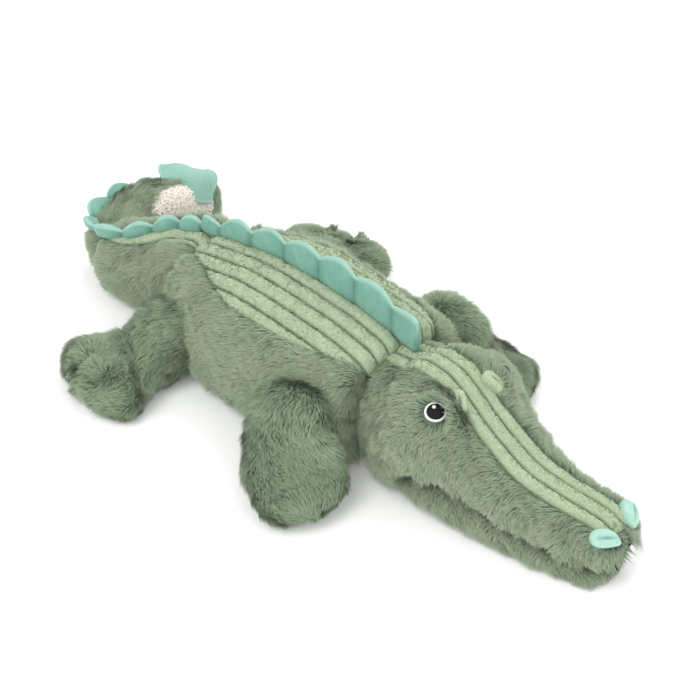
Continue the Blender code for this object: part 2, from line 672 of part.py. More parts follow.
def toes(place, side):
    """Draws the foot's outline in between its toes."""
    ahead = place - FOOT_MIDDLE
    reach = math.hypot(ahead, side)
    if ahead <= 0 or reach < PROBE:
        return place, side
    turn = math.atan2(side, ahead)
    grooves = [TOE_SPREAD * (k / TOES - 1 / 2) for k in range(1, TOES)]
    dip = sum(math.exp(-((turn - g) / TOE_GROOVE_HALF_ANGLE) ** 2) for g in grooves)
    outward = min(reach / (HIND_LEG_LENGTH - FOOT_MIDDLE), 1) ** 2
    kept = 1 - TOE_GROOVE * dip * outward / reach
    return FOOT_MIDDLE + ahead * kept, side * kept


def hind_leg_form(side):
    half = scaled(SHANK_RISE_SHARES, HIND_LEG_LENGTH, FOOT_THICKNESS / 2)
    clear = scaled(SHANK_CLEAR_SHARES, HIND_LEG_LENGTH, HIP_CLEARANCE)
    back, out = math.sin(HIP_TURNS[side]), side * math.cos(HIP_TURNS[side])
    square = squareness(LIMB_SQUARE, HIND_LEG_LENGTH, LIMB_SQUARE_SHARES)
    return Form(
        Vector((HIP_PLACE, side * HIP_OUT, -FLOOR_FLAT)), Vector((-back, out, 0)),
        Vector((abs(out), side * back, 0)), Vector((0, 0, 1)), HIND_LEG_LENGTH,
        scaled(SHANK_WIDTH_SHARES, HIND_LEG_LENGTH, FOOT_WIDTH / 2), half, half,
        root_round=HIP_RADIUS, tip_round=FOOT_TIP_ROUND, upper=square, lower=square,
        lift=lambda s: half(s) + clear(s), reshape=toes)


def edge_of(shares, length):
    """The angle of a ribbed panel's outer seam along a form."""
    reach = scaled(shares, length, QUARTER_TURN)
    return lambda place: QUARTER_TURN - reach(place)


SIDES = (("left", 1), ("right", -1))
SPINE = constant(QUARTER_TURN)
UNDER = constant(-QUARTER_TURN)
TORSO_SEAM_LEFT = constant(TORSO_SEAM)
TORSO_SEAM_RIGHT = constant(-HALF_TURN - TORSO_SEAM)
BELLY_LEFT = constant(BELLY_SEAM)
BELLY_RIGHT = constant(-HALF_TURN - BELLY_SEAM)


def build_torso(form, seats):
    rows = form.rows(TAIL_ROOT_RIM, (TORSO_LENGTH - NECK_RIM, 8))
    skin = rows[1:-1]
    edge = edge_of(BACK_PANEL_SHARES, TORSO_LENGTH)
    cut(core("torso_stuffing", form, rows), seats.values())
    for label, side in SIDES:
        piece = panel(f"torso_side_{label}", form, skin, TORSO_SEAM_LEFT, edge, 8, FUR, side)
        cut(piece, [seats["hip_" + label], seats["shoulder_" + label]])
        panel(f"back_panel_{label}", form, skin, edge, SPINE, 12, RIBBED, side)
    belly = panel("belly_panel", form, skin, TORSO_SEAM_RIGHT, TORSO_SEAM_LEFT, 10, SHERPA)
    cut(belly, [seats[name] for name in ("neck", "tail_root", "hip_left", "hip_right")])
    frill("back_frill", form, FRILL_END_GAP, TORSO_LENGTH - FRILL_END_GAP, SCALLOP_PITCH,
          SCALLOP_PHASE, FRILL_TORSO_SHARES, RIBBED_FRILL_SEAT)


def build_face(form):
    for label, side in SIDES:
        base = THREAD_GAP
        for name, radius, look, ahead, around in (
                ("eye_white", EYE_RADIUS, WHITE_THREAD, 0, 0),
                ("eye_black", PUPIL_RADIUS, BLACK_THREAD, 0, 0),
                ("eye_glint", GLINT_RADIUS, WHITE_THREAD, GLINT_SHIFT, GLINT_SHIFT)):
            pad(f"{name}_{label}", form, EYE_PLACE, EYE_ANGLE, 2 * radius, 2 * radius, base,
                THREAD_DEPTH, STITCH_DOME_SHARE, look, side, ahead=ahead, around=around)
            base += THREAD_DEPTH + THREAD_GAP
        pad(f"brow_{label}", form, BROW_PLACE, BROW_ANGLE, BROW_LENGTH, BROW_WIDTH, PAD_SEAT,
            BROW_RISE, PAD_DOME_SHARE, RIBBED, side, BROW_TURN, 12, 6)
        pad(f"nostril_{label}", form, HEAD_LENGTH - NOSTRIL_FROM_END, NOSTRIL_ANGLE,
            NOSTRIL_LENGTH, NOSTRIL_WIDTH, PAD_SEAT, NOSTRIL_RISE, PAD_DOME_SHARE, PALE_VELOUR, side,
            NOSTRIL_TURN, 12, 6)


def build_head(form, jaw_seat):
    rows = form.rows(0, (JAW_PLACE, 7), (form.full_end(), 8))
    skin = rows[1:]
    edge = edge_of(FACE_PANEL_SHARES, HEAD_LENGTH)
    lip = Curve([(THROAT_PLACE, -QUARTER_TURN), (JAW_PLACE, LIP_SEAM)])
    cut(core("head_stuffing", form, rows, HEAD_COLUMNS), [jaw_seat])
    for label, side in SIDES:
        piece = panel(f"head_side_{label}", form, skin, lip, edge, 7, FUR, side)
        cut(piece, [jaw_seat])
    panel("head_top_panel", form, skin, edge, lambda s: HALF_TURN - edge(s), 12, RIBBED)
    roof = [place for place in rows if place >= JAW_PLACE]
    panel("mouth_roof", form, roof, constant(-HALF_TURN - LIP_SEAM), constant(LIP_SEAM), 6,
          LINING_CLOTH)
    build_face(form)


def build_jaw(form):
    rows = form.rows(0, (form.full_end(), 8))
    skin = rows[1:]
    core("jaw_stuffing", form, rows)
    panel("jaw_cover", form, skin, constant(-HALF_TURN - JAW_SEAM), constant(JAW_SEAM), 14, FUR)
    panel("jaw_lining", form, skin, constant(JAW_SEAM), constant(HALF_TURN - JAW_SEAM), 6,
          LINING_CLOTH)


def build_tail_base(form, fold_seat):
    rows = form.rows(0, (TAIL_FOLD_PLACE - TAIL_FOLD_RIM, 7))
    skin = rows[1:-1]
    edge = edge_of(TAIL_PANEL_SHARES, TAIL_LENGTH)
    pieces = [core("tail_base_stuffing", form, rows),
              panel("tail_base_belly", form, skin, BELLY_RIGHT, BELLY_LEFT, 5, SHERPA)]
    for label, side in SIDES:
        pieces.append(panel(f"tail_base_side_{label}", form, skin, BELLY_LEFT, edge, 6, FUR,
                            side))
        panel(f"tail_base_back_{label}", form, skin, edge, SPINE, 6, RIBBED, side)
    for piece in pieces:
        cut(piece, [fold_seat])
    frill("tail_base_frill", form, FRILL_END_GAP, TAIL_FOLD_PLACE - FRILL_FOLD_GAP,
          TAIL_SCALLOP_PITCH, 0, FRILL_TAIL_SHARES, TAIL_FRILL_SEAT)


def build_tail_tip(form):
    rows = form.rows(0, (form.full_end(), 8))
    skin = rows[1:]
    core("tail_tip_stuffing", form, rows, LIMB_COLUMNS)
    upper_seam = scaled(TIP_BELLY_SHARES, form.length, QUARTER_TURN)
    panel("tail_tip_belly", form, skin, BELLY_RIGHT, upper_seam, 5, SHERPA)
    for (label, side), seam, columns in zip(SIDES, (upper_seam, BELLY_LEFT), (7, 6)):
        panel(f"tail_tip_side_{label}", form, skin, seam, SPINE, columns, FUR, side)
    frill("tail_tip_frill", form, FRILL_END_GAP, form.length - FRILL_TIP_GAP,
          TIP_SCALLOP_PITCH, 0, FRILL_TIP_SHARES)


def build_leg(name, form, body_rows):
    rows = form.rows(0, (LEG_ROOT, 3), (form.full_end(), body_rows))
    skin = rows[1:]
    core(f"{name}_stuffing", form, rows, LIMB_COLUMNS)
    panel(f"{name}_upper", form, skin, constant(0), constant(HALF_TURN), 8, FUR)
    panel(f"{name}_under", form, skin, constant(-HALF_TURN), constant(0), 8, FUR)


def hang(pivot, parent, at, names):
    """Puts an empty on a joint's axis and hangs the moving pieces from it."""
    empty = bpy.data.objects.new(pivot, None)
    empty.empty_display_size = SEAM_GAP
    empty.location = at
    bpy.data.collections["plush_crocodile"].objects.link(empty)
    here = Matrix.Translation(at)
    if parent:
        empty.parent = parent
        empty.matrix_parent_inverse = Matrix.Translation(parent.matrix_world.translation).inverted()
    for thing in list(bpy.data.collections["plush_crocodile"].objects):
        if thing.type == "MESH" and thing.name.startswith(names):
            thing.parent = empty
            thing.matrix_parent_inverse = here.inverted()
    bpy.context.view_layer.update()
    return empty


def main():
    clear_scene()
    new_collection("plush_crocodile")
    new_collection("cutters")
    torso, head, jaw = torso_form(), head_form(), jaw_form()
    tail_base = tail_form(Vector((NECK_PLACE - TORSO_LENGTH, 0, 0)), 0, TAIL_FOLD_PLACE,
                          TAIL_ROOT_RADIUS, 0)
    tail_tip = tail_form(tail_base.path[-1], TAIL_FOLD_PLACE, TAIL_LENGTH, TAIL_FOLD_RADIUS,
                         TAIL_TIP_ROUND)
    seats = {"neck": seat("neck_seat", head), "tail_root": seat("tail_root_seat", tail_base)}
    front_legs, hind_legs = {}, {}
    for label, side in SIDES:
        front_legs[label] = front_leg_form(side)
        hind_legs[label] = hind_leg_form(side)
        seats["shoulder_" + label] = seat(f"shoulder_seat_{label}", front_legs[label])
        seats["hip_" + label] = seat(f"hip_seat_{label}", hind_legs[label])
    build_torso(torso, seats)
    build_head(head, seat("jaw_seat", jaw))
    build_jaw(jaw)
    build_tail_base(tail_base, seat("tail_fold_seat", tail_tip))
    build_tail_tip(tail_tip)
    for label, side in SIDES:
        build_leg(f"front_leg_{label}", front_legs[label], 5)
        build_leg(f"hind_leg_{label}", hind_legs[label], 4)

    neck_pivot = hang("neck_pivot", None, head.frame(0)[0],
                      ("head_", "mouth_", "eye_", "brow_", "nostril_"))
    hang("jaw_pivot", neck_pivot, jaw.frame(0)[0], ("jaw_",))
    tail_pivot = hang("tail_pivot", None, tail_base.frame(0)[0], ("tail_base_",))
    hang("tail_fold_pivot", tail_pivot, tail_tip.frame(0)[0], ("tail_tip_",))
    for label, side in SIDES:
        hang(f"shoulder_pivot_{label}", None, front_legs[label].frame(0)[0],
             (f"front_leg_{label}",))
        hang(f"hip_pivot_{label}", None, hind_legs[label].frame(0)[0], (f"hind_leg_{label}",))


main()
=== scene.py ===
"""Looks of a stuffed toy crocodile: fur strands, ribbed cloth, curly belly cloth, a velour frill
and embroidered eyes, laid on the same rounded forms as the solids."""

import math

import bmesh
import bpy
import numpy as np
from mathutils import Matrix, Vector


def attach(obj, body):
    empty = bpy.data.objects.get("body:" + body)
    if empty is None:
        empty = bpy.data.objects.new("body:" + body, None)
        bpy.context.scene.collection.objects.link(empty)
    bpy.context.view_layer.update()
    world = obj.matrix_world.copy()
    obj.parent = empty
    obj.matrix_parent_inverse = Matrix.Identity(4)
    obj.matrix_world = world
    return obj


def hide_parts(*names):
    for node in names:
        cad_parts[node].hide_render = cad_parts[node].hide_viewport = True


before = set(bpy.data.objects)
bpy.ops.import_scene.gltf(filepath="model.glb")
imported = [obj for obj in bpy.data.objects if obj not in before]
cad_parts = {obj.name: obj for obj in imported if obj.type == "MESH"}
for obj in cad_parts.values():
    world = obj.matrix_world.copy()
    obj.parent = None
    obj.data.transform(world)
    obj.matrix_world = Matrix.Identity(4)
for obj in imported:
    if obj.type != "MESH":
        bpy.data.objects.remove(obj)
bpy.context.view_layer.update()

# Sizes of the forms in metres, as the solids have them
TORSO_LENGTH, TORSO_WIDTH, TORSO_HEIGHT = 0.226, 0.129, 0.095
NECK_PLACE = 0.088
HEAD_LENGTH, HEAD_WIDTH, HEAD_HEIGHT = 0.177, 0.108, 0.092
MOUTH_HEIGHT, LIP_GAP = 0.036, 0.0014
TAIL_LENGTH, TAIL_WIDTH, TAIL_HEIGHT = 0.194, 0.078, 0.073
FLOOR_FLAT = 0.0005
NECK_RADIUS, NECK_HALF_HEIGHT, NECK_RIM, HEAD_TIP_ROUND = 0.042, 0.042, 0.015, 0.020
TAIL_ROOT_RADIUS, TAIL_ROOT_HALF_HEIGHT, TAIL_ROOT_RIM = 0.034, 0.0365, 0.012
TAIL_FOLD_PLACE, TAIL_FOLD_RADIUS, TAIL_FOLD_RIM, TAIL_TIP_ROUND = 0.098, 0.026, 0.018, 0.016
THROAT_PLACE, JAW_PLACE, JAW_WIDTH, JAW_LENGTH, JAW_TIP_ROUND = 0.012, 0.030, 0.084, 0.140, 0.012
FRONT_LEG_LENGTH, FLIPPER_WIDTH, FLIPPER_THICKNESS, FLIPPER_TIP_ROUND = 0.078, 0.063, 0.029, 0.017
SHOULDER_PLACE, SHOULDER_OUT, SHOULDER_HEIGHT = 0.044, 0.072, 0.056
SHOULDER_SLOPES = {1: math.radians(64), -1: math.radians(57)}
HIND_LEG_LENGTH, HIP_FROM_TAIL, HIP_OUT = 0.081, 0.038, 0.057
HIP_RADIUS, HIP_CLEARANCE = 0.024, 0.006
HIP_PLACE = NECK_PLACE - TORSO_LENGTH + HIP_FROM_TAIL
HIP_TURNS = {1: math.radians(20), -1: math.radians(10)}
FOOT_WIDTH, FOOT_THICKNESS, FOOT_MIDDLE, FOOT_TIP_ROUND = 0.092, 0.030, 0.048, 0.026
TOES, TOE_GROOVE = 3, 0.006
TOE_GROOVE_HALF_ANGLE, TOE_SPREAD = math.radians(11), math.radians(124)
FRILL_HEIGHT, FRILL_THICKNESS, FRILL_END_GAP = 0.029, 0.0026, 0.0015
FRILL_FOLD_GAP, FRILL_TIP_GAP = 0.006, 0.010
SCALLOP_PITCH, SCALLOP_PHASE, TAIL_SCALLOP_PITCH, TIP_SCALLOP_PITCH = 0.0362, 0.020, 0.021, 0.020
EYE_RADIUS, PUPIL_RADIUS, EYE_PLACE = 0.0073, 0.0055, 0.043
BROW_PLACE, BROW_LENGTH, BROW_WIDTH = 0.051, 0.014, 0.009
NOSTRIL_PLACE, NOSTRIL_LENGTH, NOSTRIL_WIDTH = HEAD_LENGTH - 0.011, 0.018, 0.011
PROBE, MERGE, WAVES = 0.0002, 0.000002, 7

# Sizes that only the looks have: cloth and seams
BASE_DEPTH, CLOTH_DEPTH, JAW_CLOTH_DEPTH, FUR_LAP = 0.001, 0.0022, 0.0016, 0.004
WALE_WIDTH, FACE_WALE_WIDTH, WALE_EDGE = 0.0112, 0.0108, 0.0035
GROOVE_DEPTH, WALE_HEIGHT, DENT_PITCH, DENT_DRIFT = 0.0020, 0.0042, 0.036, 0.017
NECK_PANEL_REACH, TAIL_PANEL_REACH, PANEL_LAP = 0.026, 0.024, 0.002
EDGE_LAP, SEAM_LAP, JAW_LAP = 0.03, 0.02, 0.2
TORSO_EASES, TAIL_EASE = (0.010, 0.011), 0.009

# Strands: their length is the pile, and their density is the number on a square metre
FUR_DENSITY, FUR_WIDTH, MOST_STRANDS = 2.2e6, 0.00044, 62000
STRAND_YAW, LENGTH_SPREAD = 0.3, 0.3
TORSO_PILE, HEAD_PILE, SNOUT_PILE, JAW_PILE, TAIL_PILE = 0.0082, 0.0078, 0.0064, 0.0062, 0.0076
FLANK_EXTRA, RUMP_EXTRA, RUMP_REACH, RUMP_LEAN_REACH = 0.001, 0.005, 0.012, 0.014
LEG_PILE, LEG_ROOT_EXTRA, LEG_ROOT_REACH = 0.0082, 0.003, 0.016
TAIL_ROOT_EXTRA, TAIL_ROOT_REACH, TIP_FUR_LENGTH = 0.006, 0.022, 0.014
NOSE_FUR_PLACE, LIP_REACH, LIP_WAVE, CLEAR_REACH, WHORL_REACH = 0.168, 0.30, 0.0055, 0.007, 0.013
MOUTH_GAPS, MOUTH_GAP_HALF = (0.120, 0.136, 0.160), 0.0045
RIB_PILE, RIB_DENSITY, RIB_WIDTH = 0.0007, 2.5e6, 0.00032
CURL_LENGTH, CURL_DENSITY, CURL_WIDTH = 0.0046, 1.0e6, 0.0012
FLOOR_CLEARANCE, FLOOR_STAGGER = 0.0002, 0.0004

# Face and feet
EYE_RAISE, PUPIL_RAISE, GLINT_RAISE, SEWN_DEPTH = 0.0030, 0.0040, 0.0048, 0.0004
EYE_DOME, PUPIL_DOME, GLINT_DOME, EYE_SHIFT = 0.0009, 0.0007, 0.0004, 0.003
GLINT_RADIUS, GLINT_SHIFT, EYE_CLEAR = 0.0012, 0.0022, 0.0003
EYE_FOLD, EYE_FOLD_PLACE, EYE_FOLD_LENGTH = 0.0108, EYE_PLACE + 0.006, 0.013
EYE_FOLD_OUT, EYE_FOLD_WIDTH = 0.0198, 0.0040
BROW_FOOT, BROW_DOME, BROW_CREASE, BROW_CLEAR = 0.0013, 0.0072, 0.0024, 0.003
NOSTRIL_FOOT, NOSTRIL_DOME, NOSTRIL_CREASE, NOSTRIL_CLEAR = 0.0012, 0.0066, 0.0014, 0.0055
TOE_WHORL, TOE_CREASE, TOE_CREASE_HALF_ANGLE = 0.021, 0.0055, 0.16
ANKLE_CREASE, ANKLE_PLACE, ANKLE_HALF = 0.0045, 0.037, 0.0035

# Frill: its sewn edge, and the loose end that curls over the tail
FRILL_SEAM, RIM_SEAM, BACK_FRILL_SINK, TAIL_FRILL_SINK = 0.0005, 0.0005, 0.0006, 0.0004
FRILL_STEPS, FRILL_RISE_STEPS = 30, 14
FLAP_HINGE, FLAP_FROM, FLAP_CURL, FLAP_DRIFT = 0.50, 0.80, math.radians(160), math.radians(72)
FLOPPY_TIP_SHARES = ((0.0, 0.46), (0.5, 0.50), (0.80, 0.52), (0.88, 1.3), (0.95, 1.35),
                     (1.0, 1.0))
VALLEY_SHARES = ((0, 0.45), (1, 0.45))
BACK_VALLEY_SHARES = ((0, 0.52), (0.3, 0.62), (0.6, 0.74), (1, 0.78))
TIP_VALLEY_SHARES = ((0, 0.45), (0.80, 0.45), (0.88, 0.96), (1, 0.96))

HALF_TURN, QUARTER_TURN = math.pi, math.pi / 2
BELLY_SEAM, TORSO_SEAM = math.radians(-45), math.radians(-52)
LIP_SEAM, JAW_SEAM = math.radians(-36), math.radians(36)
EYE_ANGLE, BROW_ANGLE, BROW_TURN = math.radians(54), math.radians(66), math.radians(55)
NOSTRIL_ANGLE, NOSTRIL_TURN = math.radians(60), math.radians(40)

# Shapes as shares: the place along the form first, then shares of its width or height
FOLD = TAIL_FOLD_PLACE / TAIL_LENGTH
TORSO_WIDTH_SHARES = ((0.05, 0.75), (0.13, 0.84), (0.22, 0.93), (0.36, 1.03), (0.52, 1.05),
                      (0.66, 1.0), (0.84, 0.99), (0.935, 0.93))
TORSO_TOP_SHARES = ((0.05, 0.81), (0.13, 0.865), (0.24, 0.92), (0.40, 0.985), (0.57, 1.0),
                    (0.72, 0.995), (0.86, 0.96), (0.935, 0.925))
TORSO_MIDDLE_SHARES = ((0.05, 0.39), (0.30, 0.40), (0.50, 0.37), (0.70, 0.42), (0.935, 0.45))
TORSO_SQUARE_SHARES = ((0.05, 0.15), (0.30, 1.0), (0.75, 1.0), (0.935, 0.15))
HEAD_WIDTH_SHARES = ((0.0, 2 * NECK_RADIUS / HEAD_WIDTH), (0.07, 0.93), (0.15, 1.0),
                     (0.23, 0.95), (0.31, 0.80), (0.40, 0.675), (0.49, 0.61), (0.60, 0.55),
                     (0.72, 0.505), (0.84, 0.48), (1.0, 0.46))
HEAD_TOP_SHARES = ((0.0, 2 * NECK_HALF_HEIGHT / HEAD_HEIGHT), (0.09, 0.995), (0.18, 0.99),
                   (0.25, 0.935), (0.31, 0.865), (0.38, 0.775), (0.47, 0.685), (0.60, 0.58),
                   (0.76, 0.54), (0.88, 0.51), (1.0, 0.42))
HEAD_MIDDLE_SHARES = ((0.0, NECK_HALF_HEIGHT / HEAD_HEIGHT), (0.10, 0.50), (0.18, 0.60),
                      (0.30, 0.58), (0.44, 0.48), (0.60, 0.385), (0.78, 0.35), (1.0, 0.34))
HEAD_SQUARE_SHARES = ((0.0, 0.0), (0.20, 0.6), (0.35, 1.0), (1.0, 1.0))
MOUTH_SHARES = ((0.0, 0.0), (0.06, 0.01), (0.12, 0.40), (0.176, 0.94), (0.25, 0.95),
                (0.33, 0.93), (0.44, 0.84), (0.60, 0.65), (0.78, 0.56), (1.0, 0.50))
JAW_WIDTH_SHARES = ((0.0, 1.0), (0.25, 0.90), (0.40, 0.80), (0.60, 0.68), (0.80, 0.57),
                    (1.0, 0.48))
TAIL_WIDTH_SHARES = ((0.0, 2 * TAIL_ROOT_RADIUS / TAIL_WIDTH), (0.10, 1.0), (0.24, 0.88),
                     (0.37, 0.74), (FOLD, 2 * TAIL_FOLD_RADIUS / TAIL_WIDTH), (0.66, 0.80),
                     (0.84, 0.73), (1.0, 0.62))
TAIL_RISE_SHARES = ((0.0, 2 * TAIL_ROOT_HALF_HEIGHT / TAIL_HEIGHT), (0.10, 1.0), (0.24, 0.91),
                    (0.37, 0.80), (FOLD, 2 * TAIL_FOLD_RADIUS / TAIL_HEIGHT), (0.66, 0.69),
                    (0.84, 0.57), (1.0, 0.46))
TAIL_DROP_SHARES = ((0.0, 2 * TAIL_ROOT_HALF_HEIGHT / TAIL_HEIGHT), (0.10, 0.95), (0.24, 0.82),
                    (0.37, 0.74), (FOLD, 2 * TAIL_FOLD_RADIUS / TAIL_HEIGHT), (0.66, 0.61),
                    (0.84, 0.50), (1.0, 0.40))
TAIL_SQUARE_SHARES = ((0.0, 0.0), (0.14, 1.0), (0.34, 1.0), (FOLD, 0.0), (0.64, 1.0), (1.0, 1.0))
FLIPPER_WIDTH_SHARES = ((0.0, 0.88), (0.30, 0.92), (0.58, 0.98), (0.80, 0.96), (1.0, 0.90))
FLIPPER_RISE_SHARES = ((0.0, 1.0), (0.25, 1.0), (0.55, 0.94), (0.80, 0.80), (1.0, 0.66))
FLIPPER_DROP_SHARES = ((0.0, 1.0), (0.06, 0.92), (0.14, 0.68), (0.25, 0.62), (0.60, 0.66),
                       (1.0, 0.62))
LIMB_SQUARE_SHARES = ((0.0, 0.0), (0.12, 1.0), (1.0, 1.0))
SHANK_WIDTH_SHARES = ((0.0, 2 * HIP_RADIUS / FOOT_WIDTH), (0.10, 0.53), (0.22, 0.55),
                      (0.38, 0.57), (0.50, 0.66), (0.64, 0.88), (0.78, 0.98), (1.0, 1.0))
SHANK_RISE_SHARES = ((0.0, 2 * HIP_RADIUS / FOOT_THICKNESS), (0.12, 1.50), (0.40, 1.30),
                     (0.55, 1.08), (0.75, 0.98), (1.0, 0.90))
SHANK_CLEAR_SHARES = ((0.0, 1.0), (0.20, 0.75), (0.45, 0.0), (1.0, 0.0))
SNOUT_HEADING_SHARES = ((0.0, 0.0), (0.40, 0.0), (0.60, 0.02), (0.80, 0.05), (1.0, 0.07))
TAIL_HEADING_SHARES = ((0.0, 0.0), (0.08, -0.07), (0.18, -0.13), (0.29, -0.10), (0.42, 0.09),
                       (0.55, 0.34), (0.68, 0.50), (0.84, 0.54), (1.0, 0.54))
TAIL_ROLL_SHARES = ((0.0, 0.0), (0.18, 0.06), (0.36, 0.17), (0.50, 0.27), (0.72, 0.38),
                    (1.0, 0.40))
FLIPPER_HEADING_SHARES = ((0.0, 0.07), (0.12, 0.11), (0.36, 0.21), (0.62, 0.31), (1.0, 0.38))
FLIPPER_SWEEP_SHARES = {1: 1.08, -1: 1.06}
FLIPPER_ROLL_SHARES = ((0.0, 0.0), (0.15, -0.01), (0.50, -0.17), (0.80, -0.26), (1.0, -0.28))
BACK_PANEL_SHARES = ((0.05, 0.30), (0.20, 0.40), (0.40, 0.52), (0.65, 0.53), (0.85, 0.44),
                     (0.935, 0.38))
TAIL_PANEL_SHARES = ((0.0, 0.30), (0.12, 0.30), (0.29, 0.22), (0.40, 0.12))
TIP_BELLY_SHARES = ((0.0, -0.50), (0.10, -0.32), (0.24, -0.10), (0.60, -0.02), (1.0, -0.10))
FACE_PANEL_SHARES = ((0.0, 0.26), (0.15, 0.21), (0.27, 0.20), (0.45, 0.30), (0.70, 0.38),
                     (0.90, 0.37), (1.0, 0.34))
FRILL_TORSO_SHARES = ((0.0, 0.45), (0.15, 0.66), (0.33, 0.74), (0.52, 0.87), (0.68, 1.0),
                      (0.85, 1.0), (0.97, 0.90), (1.0, 0.80))
FRILL_TAIL_SHARES = ((0.0, 0.46), (0.5, 0.46), (1.0, 0.46))
ROUND, TORSO_UPPER_SQUARE, TORSO_LOWER_SQUARE = 2, 2.1, 3.5
HEAD_UPPER_SQUARE, HEAD_LOWER_SQUARE, JAW_SQUARE = 2.2, 3.2, 2.8
TAIL_UPPER_SQUARE, TAIL_LOWER_SQUARE, LIMB_SQUARE = 1.75, 2.3, 2.6
SIDES = (("left", 1), ("right", -1))


def arrays(*values):
    return np.broadcast_arrays(*(np.asarray(v, float) for v in values))


def unit(vectors):
    return vectors / np.maximum(np.linalg.norm(vectors, axis=-1, keepdims=True), 1e-12)


class Curve:
    """A value that follows a table of (place, value) rows smoothly, for whole arrays of places."""

    def __init__(self, rows):
        self.places, self.values = (np.array(column, float) for column in zip(*rows))
        rises = np.diff(self.values) / np.diff(self.places)
        both = rises[:-1] * rises[1:]
        total = np.where(rises[:-1] + rises[1:] == 0, 1, rises[:-1] + rises[1:])
        inner = np.where(both <= 0, 0, 2 * both / total)
        self.slopes = np.concatenate((rises[:1], inner, rises[-1:]))

    def __call__(self, place):
        place = np.clip(place, self.places[0], self.places[-1])
        i = np.clip(np.searchsorted(self.places, place, side="right") - 1, 0,
                    len(self.places) - 2)
        gap = self.places[i + 1] - self.places[i]
        t = (place - self.places[i]) / gap
        bend = t * t * (3 - 2 * t)
        return (self.values[i] + (self.values[i + 1] - self.values[i]) * bend
                + gap * t * (1 - t) * (self.slopes[i] * (1 - t) - self.slopes[i + 1] * t))


def between(values):
    """The values, held between 0 and 1."""
    return np.clip(values, 0, 1)


def hump(away, reach):
    """1 where away is 0, fading smoothly over the reach."""
    return np.exp(-(away / reach) ** 2)


def scaled(shares, length, size):
    return Curve([(place * length, share * size) for place, share in shares])


def constant(value):
    return lambda place, *_: np.full(np.shape(place), float(value))


def squareness(full, length, shares):
    grown = scaled(shares, length, 1)
    return lambda place: ROUND + (full - ROUND) * grown(place)


